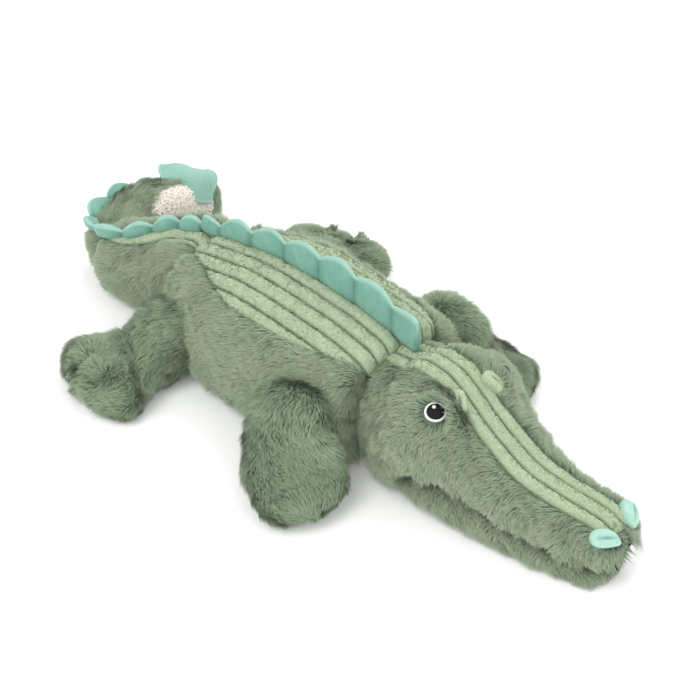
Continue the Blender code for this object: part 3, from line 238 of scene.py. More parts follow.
class Form:
    """A stuffed form: rounded sections along a path that may turn in its plane and roll."""

    STEPS, RINGS = 240, 60

    def __init__(self, origin, along, left, up, length, width, rise, drop, root_round=0,
                 tip_round=0, upper=constant(ROUND), lower=constant(ROUND),
                 heading=constant(0), roll=constant(0), lift=constant(0), reshape=None):
        self.origin, self.along, self.left, self.up = (np.array(v, float)
                                                       for v in (origin, along, left, up))
        self.length, self.root_round, self.tip_round = length, root_round, tip_round
        self.width, self.rise, self.drop = width, rise, drop
        self.upper, self.lower = upper, lower
        self.heading, self.roll, self.lift, self.reshape = heading, roll, lift, reshape
        self.skin, self.eases = (-root_round, length), (0, 0)
        step = length / self.STEPS
        turns = heading((np.arange(self.STEPS) + 0.5) * step)
        moves = self.direction(turns) * step
        self.path = self.origin + np.vstack((np.zeros(3), np.cumsum(moves, axis=0)))

    def direction(self, turn):
        turn = np.asarray(turn)[..., None]
        return self.along * np.cos(turn) + self.left * np.sin(turn)

    def frame(self, place):
        place = np.asarray(place, float)
        turn, lean = self.heading(place)[..., None], self.roll(place)[..., None]
        along = self.direction(turn[..., 0])
        level = self.left * np.cos(turn) - self.along * np.sin(turn)
        left = level * np.cos(lean) + self.up * np.sin(lean)
        up = self.up * np.cos(lean) - level * np.sin(lean)
        t = between(place / self.length) * self.STEPS
        k = np.minimum(t.astype(int), self.STEPS - 1)
        part = (t - k)[..., None]
        centre = self.path[k] * (1 - part) + self.path[k + 1] * part
        centre = centre + along * np.minimum(place, 0)[..., None]
        return centre + self.up * self.lift(place)[..., None], along, left, up

    def fullness(self, place):
        full = np.ones(np.shape(place))
        if self.root_round:
            full = np.where(place < 0, np.sqrt(np.maximum(1 - (place / self.root_round) ** 2, 0)),
                            full)
        if self.tip_round:
            past = np.maximum(place - (self.length - self.tip_round), 0) / self.tip_round
            full = np.where(past > 0, np.sqrt(np.maximum(1 - past ** 2, 0)), full)
        return full

    def point(self, place, angle):
        place, angle = arrays(place, angle)
        full = self.fullness(place)
        across, over = np.cos(angle), np.sin(angle)
        power = ROUND / np.where(over >= 0, self.upper(place), self.lower(place))
        reach = np.where(over >= 0, self.rise(place), self.drop(place))
        side = self.width(place) * full * np.sign(across) * np.abs(across) ** power
        height = reach * full * np.sign(over) * np.abs(over) ** power
        if self.reshape:
            place, side = self.reshape(place, side)
        centre, _, left, up = self.frame(place)
        return centre + left * side[..., None] + up * height[..., None]

    def tangents(self, place, angle):
        """Directions along the surface: forward along the form, and round it."""
        place, angle = arrays(place, angle)
        forward = np.minimum(place + PROBE, self.length)
        back = np.maximum(place - PROBE, -self.root_round if self.root_round else -1)
        ahead = self.point(forward, angle) - self.point(back, angle)
        turn = PROBE / np.maximum(self.width(place), PROBE)
        around = self.point(place, angle + turn) - self.point(place, angle - turn)
        return unit(ahead), unit(around)

    def normal(self, place, angle):
        place, angle = arrays(place, angle)
        centre, along, _, _ = self.frame(place)
        ahead, around = self.tangents(place, angle)
        out = unit(np.cross(ahead, around))
        outward = np.sum(out * (self.point(place, angle) - centre), axis=-1, keepdims=True)
        out = np.where(outward > 0, out, -out)
        pole = (self.fullness(place) * self.width(place) < PROBE)[..., None]
        return np.where(pole, np.where(place[..., None] < 0, -along, along), out)

    def eased(self, place):
        """How far the skin draws in at its two cut ends, as a quarter circle."""
        drawn = np.zeros(np.shape(place))
        for away, reach in zip((place - self.skin[0], self.skin[1] - place), self.eases):
            if reach:
                near = between(1 - away / reach)
                drawn = np.maximum(drawn, reach * (1 - np.sqrt(1 - near ** 2)))
        return drawn

    def surface(self, place, angle, out):
        """Points at a distance out of the skin, none of them below the floor."""
        out = out - self.eased(np.asarray(place, float))
        found = self.point(place, angle) + self.normal(place, angle) * out[..., None]
        found[..., 2] = np.maximum(found[..., 2], 0.0)
        return found

    def run(self, place, angle):
        turn = PROBE / self.width(place)
        step = self.point(place, angle + turn) - self.point(place, angle)
        return np.linalg.norm(step, axis=-1) / turn

    def full_end(self):
        return self.length - self.tip_round

    def holds(self, points, margin):
        """Which points lie inside the form, or nearer to it than the margin."""
        inside = np.zeros(len(points), bool)
        places = np.linspace(*self.skin, self.RINGS)
        gap = (places[1] - places[0]) * 0.75
        for place in places:
            centre, along, left, up = self.frame(place)
            full = float(self.fullness(place))
            away = points - centre
            near = np.abs(away @ along) < gap
            x = (away @ left) / (float(self.width(place)) * full + margin)
            y = away @ up
            y = y / np.where(y > 0, float(self.rise(place)) * full + margin,
                             float(self.drop(place)) * full + margin)
            inside |= near & (np.abs(x) ** 2.2 + np.abs(y) ** 2.2 < 1)
        return inside


def torso_form():
    width = scaled(TORSO_WIDTH_SHARES, TORSO_LENGTH, TORSO_WIDTH / 2)
    top = scaled(TORSO_TOP_SHARES, TORSO_LENGTH, TORSO_HEIGHT)
    middle = scaled(TORSO_MIDDLE_SHARES, TORSO_LENGTH, TORSO_HEIGHT)
    return Form((NECK_PLACE - TORSO_LENGTH, 0, -FLOOR_FLAT), (1, 0, 0), (0, 1, 0), (0, 0, 1),
                TORSO_LENGTH, width, lambda s: top(s) - middle(s), middle, lift=middle,
                upper=squareness(TORSO_UPPER_SQUARE, TORSO_LENGTH, TORSO_SQUARE_SHARES),
                lower=squareness(TORSO_LOWER_SQUARE, TORSO_LENGTH, TORSO_SQUARE_SHARES))


def head_form():
    width = scaled(HEAD_WIDTH_SHARES, HEAD_LENGTH, HEAD_WIDTH / 2)
    top = scaled(HEAD_TOP_SHARES, HEAD_LENGTH, HEAD_HEIGHT)
    middle = scaled(HEAD_MIDDLE_SHARES, HEAD_LENGTH, HEAD_HEIGHT)
    mouth = scaled(MOUTH_SHARES, HEAD_LENGTH, MOUTH_HEIGHT)
    return Form((NECK_PLACE, 0, -FLOOR_FLAT), (1, 0, 0), (0, 1, 0), (0, 0, 1), HEAD_LENGTH,
                width, lambda s: top(s) - middle(s), lambda s: middle(s) - mouth(s),
                root_round=NECK_RADIUS, tip_round=HEAD_TIP_ROUND, lift=middle,
                upper=squareness(HEAD_UPPER_SQUARE, HEAD_LENGTH, HEAD_SQUARE_SHARES),
                lower=squareness(HEAD_LOWER_SQUARE, HEAD_LENGTH, HEAD_SQUARE_SHARES),
                heading=scaled(SNOUT_HEADING_SHARES, HEAD_LENGTH, HALF_TURN))


def jaw_form():
    mouth = scaled(MOUTH_SHARES, HEAD_LENGTH, MOUTH_HEIGHT)
    bend = scaled(SNOUT_HEADING_SHARES, HEAD_LENGTH, HALF_TURN)
    square = squareness(JAW_SQUARE, JAW_LENGTH, HEAD_SQUARE_SHARES)

    def half(place):
        return (mouth(JAW_PLACE + np.maximum(place, 0)) - LIP_GAP) / 2

    return Form((NECK_PLACE + JAW_PLACE, 0, -FLOOR_FLAT), (1, 0, 0), (0, 1, 0), (0, 0, 1),
                JAW_LENGTH, scaled(JAW_WIDTH_SHARES, JAW_LENGTH, JAW_WIDTH / 2), half, half,
                root_round=float(half(0.0)), tip_round=JAW_TIP_ROUND, upper=square, lower=square,
                lift=half, heading=lambda s: bend(JAW_PLACE + np.maximum(s, 0)))


def tail_form(origin, start, stop, root_round, tip_round):
    def shifted(curve):
        return lambda place: curve(start + np.maximum(place, 0))

    width, rise, drop, heading, roll = (
        shifted(scaled(shares, TAIL_LENGTH, size)) for shares, size in (
            (TAIL_WIDTH_SHARES, TAIL_WIDTH / 2), (TAIL_RISE_SHARES, TAIL_HEIGHT / 2),
            (TAIL_DROP_SHARES, TAIL_HEIGHT / 2), (TAIL_HEADING_SHARES, HALF_TURN),
            (TAIL_ROLL_SHARES, HALF_TURN)))
    upper, lower = (shifted(squareness(full, TAIL_LENGTH, TAIL_SQUARE_SHARES))
                    for full in (TAIL_UPPER_SQUARE, TAIL_LOWER_SQUARE))

    def resting(place):
        power = lower(place) / (lower(place) - 1)
        across = width(place) * np.sin(roll(place))
        down = drop(place) * np.cos(roll(place))
        return (across ** power + down ** power) ** (1 / power) - FLOOR_FLAT

    return Form(origin, (-1, 0, 0), (0, 1, 0), (0, 0, 1), stop - start, width, rise, drop,
                root_round=root_round, tip_round=tip_round, upper=upper, lower=lower,
                heading=heading, roll=roll, lift=resting)


def front_leg_form(side):
    thick = FLIPPER_THICKNESS / 2
    square = squareness(LIMB_SQUARE, FRONT_LEG_LENGTH, LIMB_SQUARE_SHARES)
    turn, slope = HALF_TURN * FLIPPER_SWEEP_SHARES[side], SHOULDER_SLOPES[side]
    return Form((SHOULDER_PLACE, side * SHOULDER_OUT, SHOULDER_HEIGHT),
                (0, side * math.cos(slope), -math.sin(slope)), (1, 0, 0),
                (0, side * math.sin(slope), math.cos(slope)),
                FRONT_LEG_LENGTH,
                scaled(FLIPPER_WIDTH_SHARES, FRONT_LEG_LENGTH, FLIPPER_WIDTH / 2),
                scaled(FLIPPER_RISE_SHARES, FRONT_LEG_LENGTH, thick),
                scaled(FLIPPER_DROP_SHARES, FRONT_LEG_LENGTH, thick),
                root_round=thick, tip_round=FLIPPER_TIP_ROUND, upper=square, lower=square,
                heading=scaled(FLIPPER_HEADING_SHARES, FRONT_LEG_LENGTH, turn),
                roll=scaled(FLIPPER_ROLL_SHARES, FRONT_LEG_LENGTH, HALF_TURN))


def between_toes(turn, half):
    return sum(hump(turn - TOE_SPREAD * (k / TOES - 1 / 2), half) for k in range(1, TOES))


def toes(place, side):
    ahead = place - FOOT_MIDDLE
    reach = np.maximum(np.hypot(ahead, side), PROBE)
    dip = between_toes(np.arctan2(side, ahead), TOE_GROOVE_HALF_ANGLE)
    outward = np.minimum(reach / (HIND_LEG_LENGTH - FOOT_MIDDLE), 1) ** 2
    kept = np.where(ahead > 0, 1 - TOE_GROOVE * dip * outward / reach, 1)
    return FOOT_MIDDLE + ahead * kept, side * kept


def hind_leg_form(side):
    half = scaled(SHANK_RISE_SHARES, HIND_LEG_LENGTH, FOOT_THICKNESS / 2)
    clear = scaled(SHANK_CLEAR_SHARES, HIND_LEG_LENGTH, HIP_CLEARANCE)
    back, out = math.sin(HIP_TURNS[side]), side * math.cos(HIP_TURNS[side])
    square = squareness(LIMB_SQUARE, HIND_LEG_LENGTH, LIMB_SQUARE_SHARES)
    return Form((HIP_PLACE, side * HIP_OUT, -FLOOR_FLAT), (-back, out, 0),
                (abs(out), side * back, 0), (0, 0, 1), HIND_LEG_LENGTH,
                scaled(SHANK_WIDTH_SHARES, HIND_LEG_LENGTH, FOOT_WIDTH / 2), half, half,
                root_round=HIP_RADIUS, tip_round=FOOT_TIP_ROUND, upper=square, lower=square,
                lift=lambda s: half(s) + clear(s), reshape=toes)


def edge_of(shares, length):
    reach = scaled(shares, length, QUARTER_TURN)
    return lambda place: QUARTER_TURN - reach(place)


def waves(points, size, seed):
    """A smooth random value from about -1 to 1 at each point, that varies over the size."""
    random = np.random.default_rng(seed)
    total = np.zeros(len(points))
    for _ in range(WAVES):
        wave = unit(random.normal(size=3)) * random.uniform(0.7, 1.4) * 2 * math.pi / size
        total += np.sin(points @ wave + random.uniform(0, 2 * math.pi))
    return total / math.sqrt(WAVES)


class Tone:
    """A value in a material's node tree that Python operators can combine with others."""

    def __init__(self, tree, socket=None):
        self.tree, self.socket = tree, socket

    def node(self, kind, sockets=(), out=0, **settings):
        made = self.tree.nodes.new(kind)
        for name, value in settings.items():
            setattr(made, name, value)
        for name, value in dict(sockets).items():
            if isinstance(value, Tone):
                self.tree.links.new(value.socket, made.inputs[name])
            else:
                made.inputs[name].default_value = value
        return Tone(self.tree, made.outputs[out])

    def math(self, operation, *values):
        return self.node("ShaderNodeMath", dict(enumerate(values)), operation=operation)

    def __add__(self, other):
        return self.math("ADD", self, other)

    def __sub__(self, other):
        return self.math("SUBTRACT", self, other)

    def __rsub__(self, other):
        return self.math("SUBTRACT", other, self)

    def __mul__(self, other):
        return self.math("MULTIPLY", self, other)

    __radd__ = __add__
    __rmul__ = __mul__

    def clamp(self):
        return self.math("MINIMUM", self.math("MAXIMUM", self, 0.0), 1.0)

    def attribute(self, name):
        return self.node("ShaderNodeAttribute", attribute_name=name, out="Fac")

    def noise(self, scale, detail=3.0, distortion=0.0):
        place = self.node("ShaderNodeTexCoord", out="Object")
        return self.node("ShaderNodeTexNoise", {"Vector": place, "Scale": scale,
                                                "Detail": detail, "Distortion": distortion},
                         out="Fac")

    def mix(self, low, high):
        """A colour from low to high, as this value goes from 0 to 1."""
        return self.node("ShaderNodeMix", {0: self, 6: low, 7: high}, out=2, data_type="RGBA")


def rgb(red, green, blue):
    """A linear colour from 8-bit screen values."""
    return (*(((v / 255 + 0.055) / 1.055) ** 2.4 if v > 10 else v / 3295
              for v in (red, green, blue)), 1.0)


def material(name, paint, rough=(0.9, 1.0, 0.0), sheen=0.0, sheen_tint=(1, 1, 1, 1),
             grain=None, depth=0.0002):
    """A cloth. Rough holds its least roughness, a noise scale and how much the noise adds;
    grain is the scale and detail of its fine relief."""
    made = bpy.data.materials.new(name)
    made.use_nodes = True
    tree = made.node_tree
    shader = tree.nodes["Principled BSDF"]
    shader.inputs["Sheen Weight"].default_value = sheen
    shader.inputs["Sheen Roughness"].default_value = 0.5
    shader.inputs["Sheen Tint"].default_value = sheen_tint
    shader.inputs["Specular IOR Level"].default_value = 0.2
    tone = Tone(tree)
    tree.links.new(paint(tone).socket, shader.inputs["Base Color"])
    least, scale, share = rough
    tree.links.new((tone.noise(scale) * share + least).socket, shader.inputs["Roughness"])
    if grain:
        raised = tone.node("ShaderNodeBump", {"Height": tone.noise(*grain), "Distance": depth,
                                              "Strength": 1.0})
        tree.links.new(raised.socket, shader.inputs["Normal"])
    return made


def mesh_object(name, points, faces, look, attributes=()):
    mesh = bpy.data.meshes.new(name)
    mesh.from_pydata(points.tolist(), [], faces)
    mesh.validate()
    mesh.shade_smooth()
    mesh.materials.append(look)
    for label, values in dict(attributes).items():
        kind = "FLOAT" if values.ndim == 1 else "FLOAT_VECTOR"
        layer = mesh.attributes.new(label, kind, "POINT")
        layer.data.foreach_set("value" if values.ndim == 1 else "vector",
                               np.ascontiguousarray(values, np.float32).ravel())
    made = bpy.data.objects.new(name, mesh)
    bpy.context.scene.collection.objects.link(made)
    return made


def outward(made):
    """Merges a closed mesh's doubled points and turns its faces outwards."""
    bm = bmesh.new()
    bm.from_mesh(made.data)
    bmesh.ops.remove_doubles(bm, verts=bm.verts, dist=MERGE)
    bmesh.ops.recalc_face_normals(bm, faces=bm.faces)
    bm.to_mesh(made.data)
    bm.free()
    made.data.shade_smooth()
    return made


def ring_faces(rings, columns):
    """Faces of a closed form: a pole, rings of vertices, and another pole."""
    faces = []
    last = 1 + rings * columns
    for j in range(columns):
        k = (j + 1) % columns
        faces.append((0, 1 + k, 1 + j))
        for i in range(rings - 1):
            a, b = 1 + i * columns, 1 + (i + 1) * columns
            faces.append((a + j, a + k, b + k, b + j))
        end = 1 + (rings - 1) * columns
        faces.append((end + j, end + k, last))
    return faces


def closed(name, form, places, columns, look, facts, inset=None):
    """A body's closed base form, with what the fur needs to know at each vertex."""
    angles = np.linspace(0, 2 * math.pi, columns, endpoint=False)
    place, angle = np.meshgrid(places, angles, indexing="ij")
    place, angle = place.ravel(), angle.ravel()
    deep = np.full(place.shape, BASE_DEPTH)
    if inset:
        beside = form.width(place) * form.fullness(place) * np.cos(angle)
        deep = deep + inset(place, beside) * between(np.sin(angle) * 2)
    points = form.surface(place, angle, -deep)
    ends = [form.frame(p)[0] for p in (places[0], places[-1])]
    for k, rounded, pole in ((0, form.root_round, -form.root_round),
                             (1, form.tip_round, form.length)):
        if rounded:
            ends[k] = form.surface(np.array([pole]), np.array([0.0]), np.array([-BASE_DEPTH]))[0]
    every = np.vstack((ends[0], points, ends[1]))
    place = np.concatenate((places[:1], place, places[-1:]))
    angle = np.concatenate(((0.0,), angle, (0.0,)))
    faces = ring_faces(len(places), columns)
    return outward(mesh_object(name, every, faces, look, facts(place, angle, every)))


def sheet(name, outer, inner, look, attributes=()):
    """A closed thin piece from two grids of points."""
    rows, columns = outer.shape[:2]
    points = np.vstack((outer.reshape(-1, 3), inner.reshape(-1, 3)))
    far = rows * columns

    def at(i, j):
        return i * columns + j

    faces = []
    for i in range(rows - 1):
        for j in range(columns - 1):
            a, b, c, d = at(i, j), at(i, j + 1), at(i + 1, j + 1), at(i + 1, j)
            faces += [(a, b, c, d), (far + d, far + c, far + b, far + a)]
    for i in range(rows - 1):
        for j, step in ((0, 1), (columns - 1, -1)):
            a, b = at(i, j), at(i + 1, j)
            faces.append((a, b, far + b, far + a)[::step])
    for j in range(columns - 1):
        for i, step in ((0, -1), (rows - 1, 1)):
            a, b = at(i, j), at(i, j + 1)
            faces.append((a, b, far + b, far + a)[::step])
    return outward(mesh_object(name, points, faces, look, attributes))


def panel(name, form, places, low, high, columns, look, depth=CLOTH_DEPTH, relief=None, side=1,
          facts=None):
    """A patch of a form's skin between two seams, with relief, drawn through to a depth."""
    share = np.linspace(0, 1, columns + 1)
    place, part = np.meshgrid(places, share, indexing="ij")
    angle = low(place) + (high(place) - low(place)) * part
    if side < 0:
        angle = HALF_TURN - angle
    base = form.point(place, angle)
    run = np.concatenate((np.zeros((1, columns + 1)), np.cumsum(np.linalg.norm(
        np.diff(base, axis=0), axis=2), axis=0)))
    across = np.concatenate((np.zeros((len(places), 1)), np.cumsum(np.linalg.norm(
        np.diff(base, axis=1), axis=2), axis=1)), axis=1)
    raised, extra = relief(place, part, run, across) if relief else (np.zeros(place.shape), {})
    outer = form.surface(place, angle, raised)
    inner = form.surface(place, angle, np.full(place.shape, -depth))
    known = {label: np.tile(values.ravel(), 2) for label, values in extra.items()}
    if facts:
        for label, values in facts(place.ravel(), angle.ravel(), outer.reshape(-1, 3)).items():
            below = values * (label != "density")
            known[label] = np.concatenate((values, below))
    return sheet(name, outer, inner, look, known)


def strand_mesh(name, bends, widths):
    """A flat curved strand of length 1 along Z that bends towards X, and its share along."""
    steps = len(bends)
    x, z, points, along = 0.0, 0.0, [], []
    for k, width in enumerate(widths):
        if k:
            turn = bends[k - 1]
            x += math.sin(turn) / steps
            z += math.cos(turn) / steps
        halves = (-width / 2, width / 2) if width else (0.0,)
        points += [(x, y, z) for y in halves]
        along += [k / steps] * len(halves)
    faces = []
    for k in range(steps):
        a = 2 * k
        faces.append((a + 1, a, a + 2, a + 3) if widths[k + 1] else (a + 1, a, a + 2))
    made = mesh_object(name, np.array(points), faces, None, {"along": np.array(along)})
    made.data.materials.clear()
    return made


def strand_tree():
    """Strands set on a surface, leaning the way it is combed."""
    tree = bpy.data.node_groups.new("strands", "GeometryNodeTree")
    for label, kind in (("Geometry", "Geometry"), ("Strand", "Object"), ("Density", "Float"),
                        ("Seed", "Int"), ("Yaw", "Float"), ("Pitch", "Float"),
                        ("Width", "Float"), ("Spread", "Float"), ("Material", "Material")):
        tree.interface.new_socket(label, in_out="INPUT", socket_type="NodeSocket" + kind)
    tree.interface.new_socket("Geometry", in_out="OUTPUT", socket_type="NodeSocketGeometry")
    given = tree.nodes.new("NodeGroupInput").outputs

    def node(kind, sockets=(), out=0, **settings):
        made = tree.nodes.new(kind)
        for label, value in settings.items():
            setattr(made, label, value)
        for label, value in dict(sockets).items():
            if isinstance(value, bpy.types.NodeSocket):
                tree.links.new(value, made.inputs[label])
            else:
                made.inputs[label].default_value = value
        return made.outputs[out]

    def named(label, kind="FLOAT"):
        return node("GeometryNodeInputNamedAttribute", {"Name": label}, data_type=kind)

    def store(geometry, label, value, kind="FLOAT"):
        return node("GeometryNodeStoreNamedAttribute",
                    {"Geometry": geometry, "Name": label, "Value": value}, data_type=kind,
                    domain="POINT")

    def maths(operation, a, b):
        return node("ShaderNodeMath", {0: a, 1: b}, operation=operation)

    def random(low, high, extra):
        """A random number for each strand: sockets 2 and 3 are its range, output 1 is it."""
        return node("FunctionNodeRandomValue",
                    {2: low, 3: high, "Seed": maths("ADD", given["Seed"], extra)}, out=1,
                    data_type="FLOAT")

    spread = node("GeometryNodeDistributePointsOnFaces",
                  {"Mesh": given["Geometry"], "Seed": given["Seed"],
                   "Density": maths("MULTIPLY", named("density"), given["Density"])},
                  distribute_method="RANDOM")
    normal = spread.node.outputs["Normal"]
    points = store(spread, "lie", normal, "FLOAT_VECTOR")
    points = store(points, "hue", random(0.0, 1.0, 5))
    combed = node("FunctionNodeAxesToRotation",
                  {"Primary Axis": normal, "Secondary Axis": named("comb", "FLOAT_VECTOR")},
                  primary_axis="Z", secondary_axis="X")
    yaw, pitch = (random(maths("MULTIPLY", given[label], -1.0), given[label], extra)
                  for label, extra in (("Yaw", 1), ("Pitch", 2)))
    both = node("ShaderNodeCombineXYZ", {"Y": maths("ADD", pitch, named("lean")), "Z": yaw})
    swung = node("FunctionNodeRotateRotation",
                 {"Rotation": combed,
                  "Rotate By": node("FunctionNodeEulerToRotation", {"Euler": both})},
                 rotation_space="LOCAL")
    low = maths("SUBTRACT", 1.0, given["Spread"])
    size = maths("MULTIPLY", named("pile"), random(low, 1.1, 3))
    wide = maths("MULTIPLY", given["Width"], random(0.7, 1.3, 4))
    strand = node("GeometryNodeObjectInfo", {"Object": given["Strand"]}).node
    placed = node("GeometryNodeInstanceOnPoints",
                  {"Points": points, "Instance": strand.outputs["Geometry"], "Rotation": swung,
                   "Scale": node("ShaderNodeCombineXYZ", {"X": size, "Y": wide, "Z": size})})
    looks = node("GeometryNodeSetMaterial",
                 {"Geometry": node("GeometryNodeRealizeInstances", {0: placed}),
                  "Material": given["Material"]})
    tree.links.new(looks, tree.nodes.new("NodeGroupOutput").inputs[0])
    return tree


STRANDS = strand_tree()


def read(data, label, width=3):
    values = np.empty(len(data) * width, np.float32)
    data.foreach_get(label, values)
    return values.reshape(-1, width)


def growth(base, side=0):
    """How dense the strands are at each vertex, on one side or both, and the area they cover."""
    mesh = base.data
    level = read(mesh.attributes["density"].data, "value", 1)[:, 0]
    if side:
        level = level * (read(mesh.vertices, "co")[:, 1] * side > 0)
    return level, sum(p.area * level[list(p.vertices)].mean() for p in mesh.polygons)


def strands(name, base, strand, look, density, width, seed, pitch=0.15, soft=0.65, side=0):
    """Sets strands on a base form, as one plain mesh with its own bake cells."""
    everywhere, _ = growth(base)
    level, area = growth(base, side)
    base.data.attributes["density"].data.foreach_set("value", level)
    density = min(density, MOST_STRANDS / max(area, PROBE ** 2))
    modifier = base.modifiers.new("strands", "NODES")
    modifier.node_group = STRANDS
    values = {"Strand": strand, "Density": density, "Seed": seed, "Yaw": STRAND_YAW,
              "Pitch": pitch, "Width": width, "Spread": LENGTH_SPREAD, "Material": look}
    for item in STRANDS.interface.items_tree:
        if item.in_out == "INPUT" and item.name in values:
            modifier[item.identifier] = values[item.name]
    depsgraph = bpy.context.evaluated_depsgraph_get()
    mesh = bpy.data.meshes.new_from_object(base.evaluated_get(depsgraph),
                                           preserve_all_data_layers=True, depsgraph=depsgraph)
    base.modifiers.remove(modifier)
    base.data.attributes["density"].data.foreach_set("value", everywhere)
    mesh.name = name
    number = len(mesh.vertices) // len(strand.data.vertices)
    points = read(mesh.vertices, "co")
    stagger = FLOOR_STAGGER * np.random.default_rng(seed).random(len(points))
    points[:, 2] = np.maximum(points[:, 2], FLOOR_CLEARANCE + stagger)
    mesh.vertices.foreach_set("co", points.ravel())
    mesh.update()
    lie, bent = read(mesh.attributes["lie"].data, "vector"), read(mesh.vertex_normals, "vector")
    mesh.shade_smooth()
    mesh.normals_split_custom_set_from_vertices(unit(lie * soft + bent * (1 - soft)))
    row = math.ceil(math.sqrt(number))
    cells = np.arange(number)
    along = np.array([a.value for a in strand.data.attributes["along"].data])
    across = np.array([0.1 + 0.8 * (v.co.y > 0) if abs(v.co.y) > 0 else 0.5
                       for v in strand.data.vertices])
    loops = np.array([v for p in strand.data.polygons for v in p.vertices])
    local = np.stack((across[loops], 0.1 + 0.8 * along[loops]), axis=1)
    corner = np.stack((cells % row, cells // row), axis=1)
    uv = ((corner[:, None, :] + local[None, :, :]) / row).astype(np.float32)
    layer = mesh.uv_layers.new(name="OFBake")
    layer.uv.foreach_set("vector", uv.ravel())
    for extra in ("comb", "density", "lean", "pile", "lie", "UVMap"):
        if extra in mesh.attributes:
            mesh.attributes.remove(mesh.attributes[extra])
    made = bpy.data.objects.new(name, mesh)
    bpy.context.scene.collection.objects.link(made)
    return made


# Cloths
def fur_material(name, tip, middle, root):
    def paint(tone):
        along, hue = tone.attribute("along"), tone.attribute("hue")
        patch, wide = tone.noise(60.0, 2.0), tone.noise(16.0, 1.0)
        # Darker towards each strand's root: painted shade deep in the pile. Hue and the two noises
        # add random tone.
        light = (along * 0.9 + (hue - 0.5) * 0.4 + (patch - 0.5) * 0.3
                 + (wide - 0.5) * 0.25 + 0.02).clamp()
        return (light * 2.2).clamp().mix(root, (light * 1.7 - 0.7).clamp().mix(middle, tip))

    return material(name, paint, (0.62, 900.0, 0.2), 0.3, rgb(205, 222, 196))


def speckled(low, high, scale, detail=3.0, gain=1.0, less=0.0):
    """A paint between two colours, in fine noise."""
    return lambda tone: (tone.noise(scale, detail) * gain - less).clamp().mix(low, high)


def rib_paint(groove_shade, low, high, shade):
    """A paint for wales: a darker colour painted into the grooves and at the seams as shade, and
    two for the crest between which shade goes.
    """
    return lambda tone: (tone.attribute("crest") * 2.2 - 0.6).clamp().mix(
        groove_shade, shade(tone).clamp().mix(low, high))


def velour_paint(tone):
    rim, fold = tone.attribute("rim"), tone.attribute("fold")
    nap = tone.noise(90.0, 3.0, distortion=0.8)
    fleck = tone.noise(2500.0, 1.0)
    body = (nap * 0.9 + fleck * 0.4 - 0.2).clamp().mix(rgb(92, 146, 130), rgb(142, 188, 172))
    # Lighter along the sewn edge and over the curled end: painted sheen.
    edged = (rim * 0.7).clamp().mix(body, rgb(172, 210, 196))
    # Darker at the foot and in the valleys between scallops: painted shade.
    return (fold * 0.85).clamp().mix(edged, rgb(56, 102, 88))


def mint_paint(tone):
    body = (tone.noise(260.0, 3.0) * 0.8 + tone.noise(2500.0, 1.0) * 0.4 - 0.1).clamp()
    # The fold darkens the crease: painted shade.
    return (tone.attribute("fold") * 0.8).clamp().mix(
        body.mix(rgb(140, 190, 172), rgb(192, 226, 212)), rgb(92, 142, 126))


def curl_paint(tone):
    return (tone.attribute("hue") * 0.7 + tone.noise(300.0, 2.0) * 0.5).clamp().mix(
        rgb(248, 232, 214), rgb(255, 251, 244))


def thread(name, low, high):
    return material(name, speckled(low, high, 1300.0, 2.0, 1.4, 0.2), (0.35, 800.0, 0.2),
                    grain=(3000.0, 1.0), depth=0.0001)


# The darkest of each fur's three colours is painted shade at the strands' roots.
fur = fur_material("sage fur", rgb(173, 186, 160), rgb(138, 154, 128), rgb(76, 97, 74))
# The legs' fur is the sage fur with a darker middle and root: painted shade for legs that sit low
# under the body.
shaded_leg_fur = fur_material("sage fur of the legs", rgb(172, 188, 160), rgb(124, 143, 115),
                        rgb(56, 75, 52))
# The fur's backing cloth, painted darker than the fur so that where it shows between strands it
# reads as shade: painted shade.
backing = material("fur backing", speckled(rgb(96, 120, 96), rgb(134, 156, 128), 260.0),
                   (0.85, 600.0, 0.12), grain=(1500.0,), depth=0.0006)
RIB_SHEEN = rgb(215, 230, 195)
# The first colour of the ribbed cloth is painted shade in the grooves.
ribbed = material("ribbed plush", rib_paint(
    rgb(104, 126, 90), rgb(132, 152, 118), rgb(204, 218, 188),
    lambda t: t.noise(1300.0, 2.0) * 1.5 + t.noise(60.0, 2.0) * 0.4 - 0.45),
    (0.75, 900.0, 0.2), 0.3, RIB_SHEEN, (1600.0, 2.0), 0.0005)
# The loops also lighten from root to tip: painted shade at their roots, with random tone per loop.
ribbed_pile = material("ribbed pile", rib_paint(
    rgb(108, 130, 94), rgb(132, 153, 118), rgb(222, 233, 208),
    lambda t: t.attribute("hue") * 0.9 + t.attribute("along") * 0.4
    + (t.noise(500.0, 2.0) - 0.5) * 0.5 - 0.05), (0.7, 900.0, 0.2), 0.2, RIB_SHEEN)
velour = material("aqua velour", velour_paint, (0.6, 700.0, 0.2), 0.5, rgb(190, 235, 220),
                  (2800.0, 2.0), 0.00025)
mint = material("mint velour", mint_paint, (0.6, 700.0, 0.2), 0.5, rgb(210, 245, 232),
                (2600.0, 2.0), 0.00025)
sherpa = material("cream sherpa", speckled(rgb(246, 228, 208), rgb(255, 248, 238), 420.0, 3.0,
                                           1.3, 0.2),
                  (0.8, 500.0, 0.15), 0.2, grain=(700.0, 3.0), depth=0.0012)
sherpa_curl = material("cream curls", curl_paint, (0.75, 500.0, 0.2), 0.2)
# Near black, read off the gap between the lips, so the lining carries that gap's shade as painted
# shade.
lining = material("mouth lining", speckled(rgb(36, 32, 32), rgb(70, 62, 60), 1200.0, 2.0),
                  (0.85, 400.0, 0.1), grain=(2400.0, 1.0))
white_thread = thread("white thread", rgb(206, 208, 204), rgb(250, 250, 248))
black_thread = thread("black thread", rgb(3, 3, 4), rgb(16, 16, 18))

STRAND = strand_mesh("strand", [math.radians(v) for v in (36, 66)], (1.0, 0.85, 0))
SHORT_STRAND = strand_mesh("short_strand", [math.radians(v) for v in (10, 45)], (1.0, 1.0, 0))
CURL = strand_mesh("curl", [math.radians(v) for v in (0, 65, 130, 195, 260)],
                   (1.0, 1.0, 1.0, 1.0, 0.8, 0))

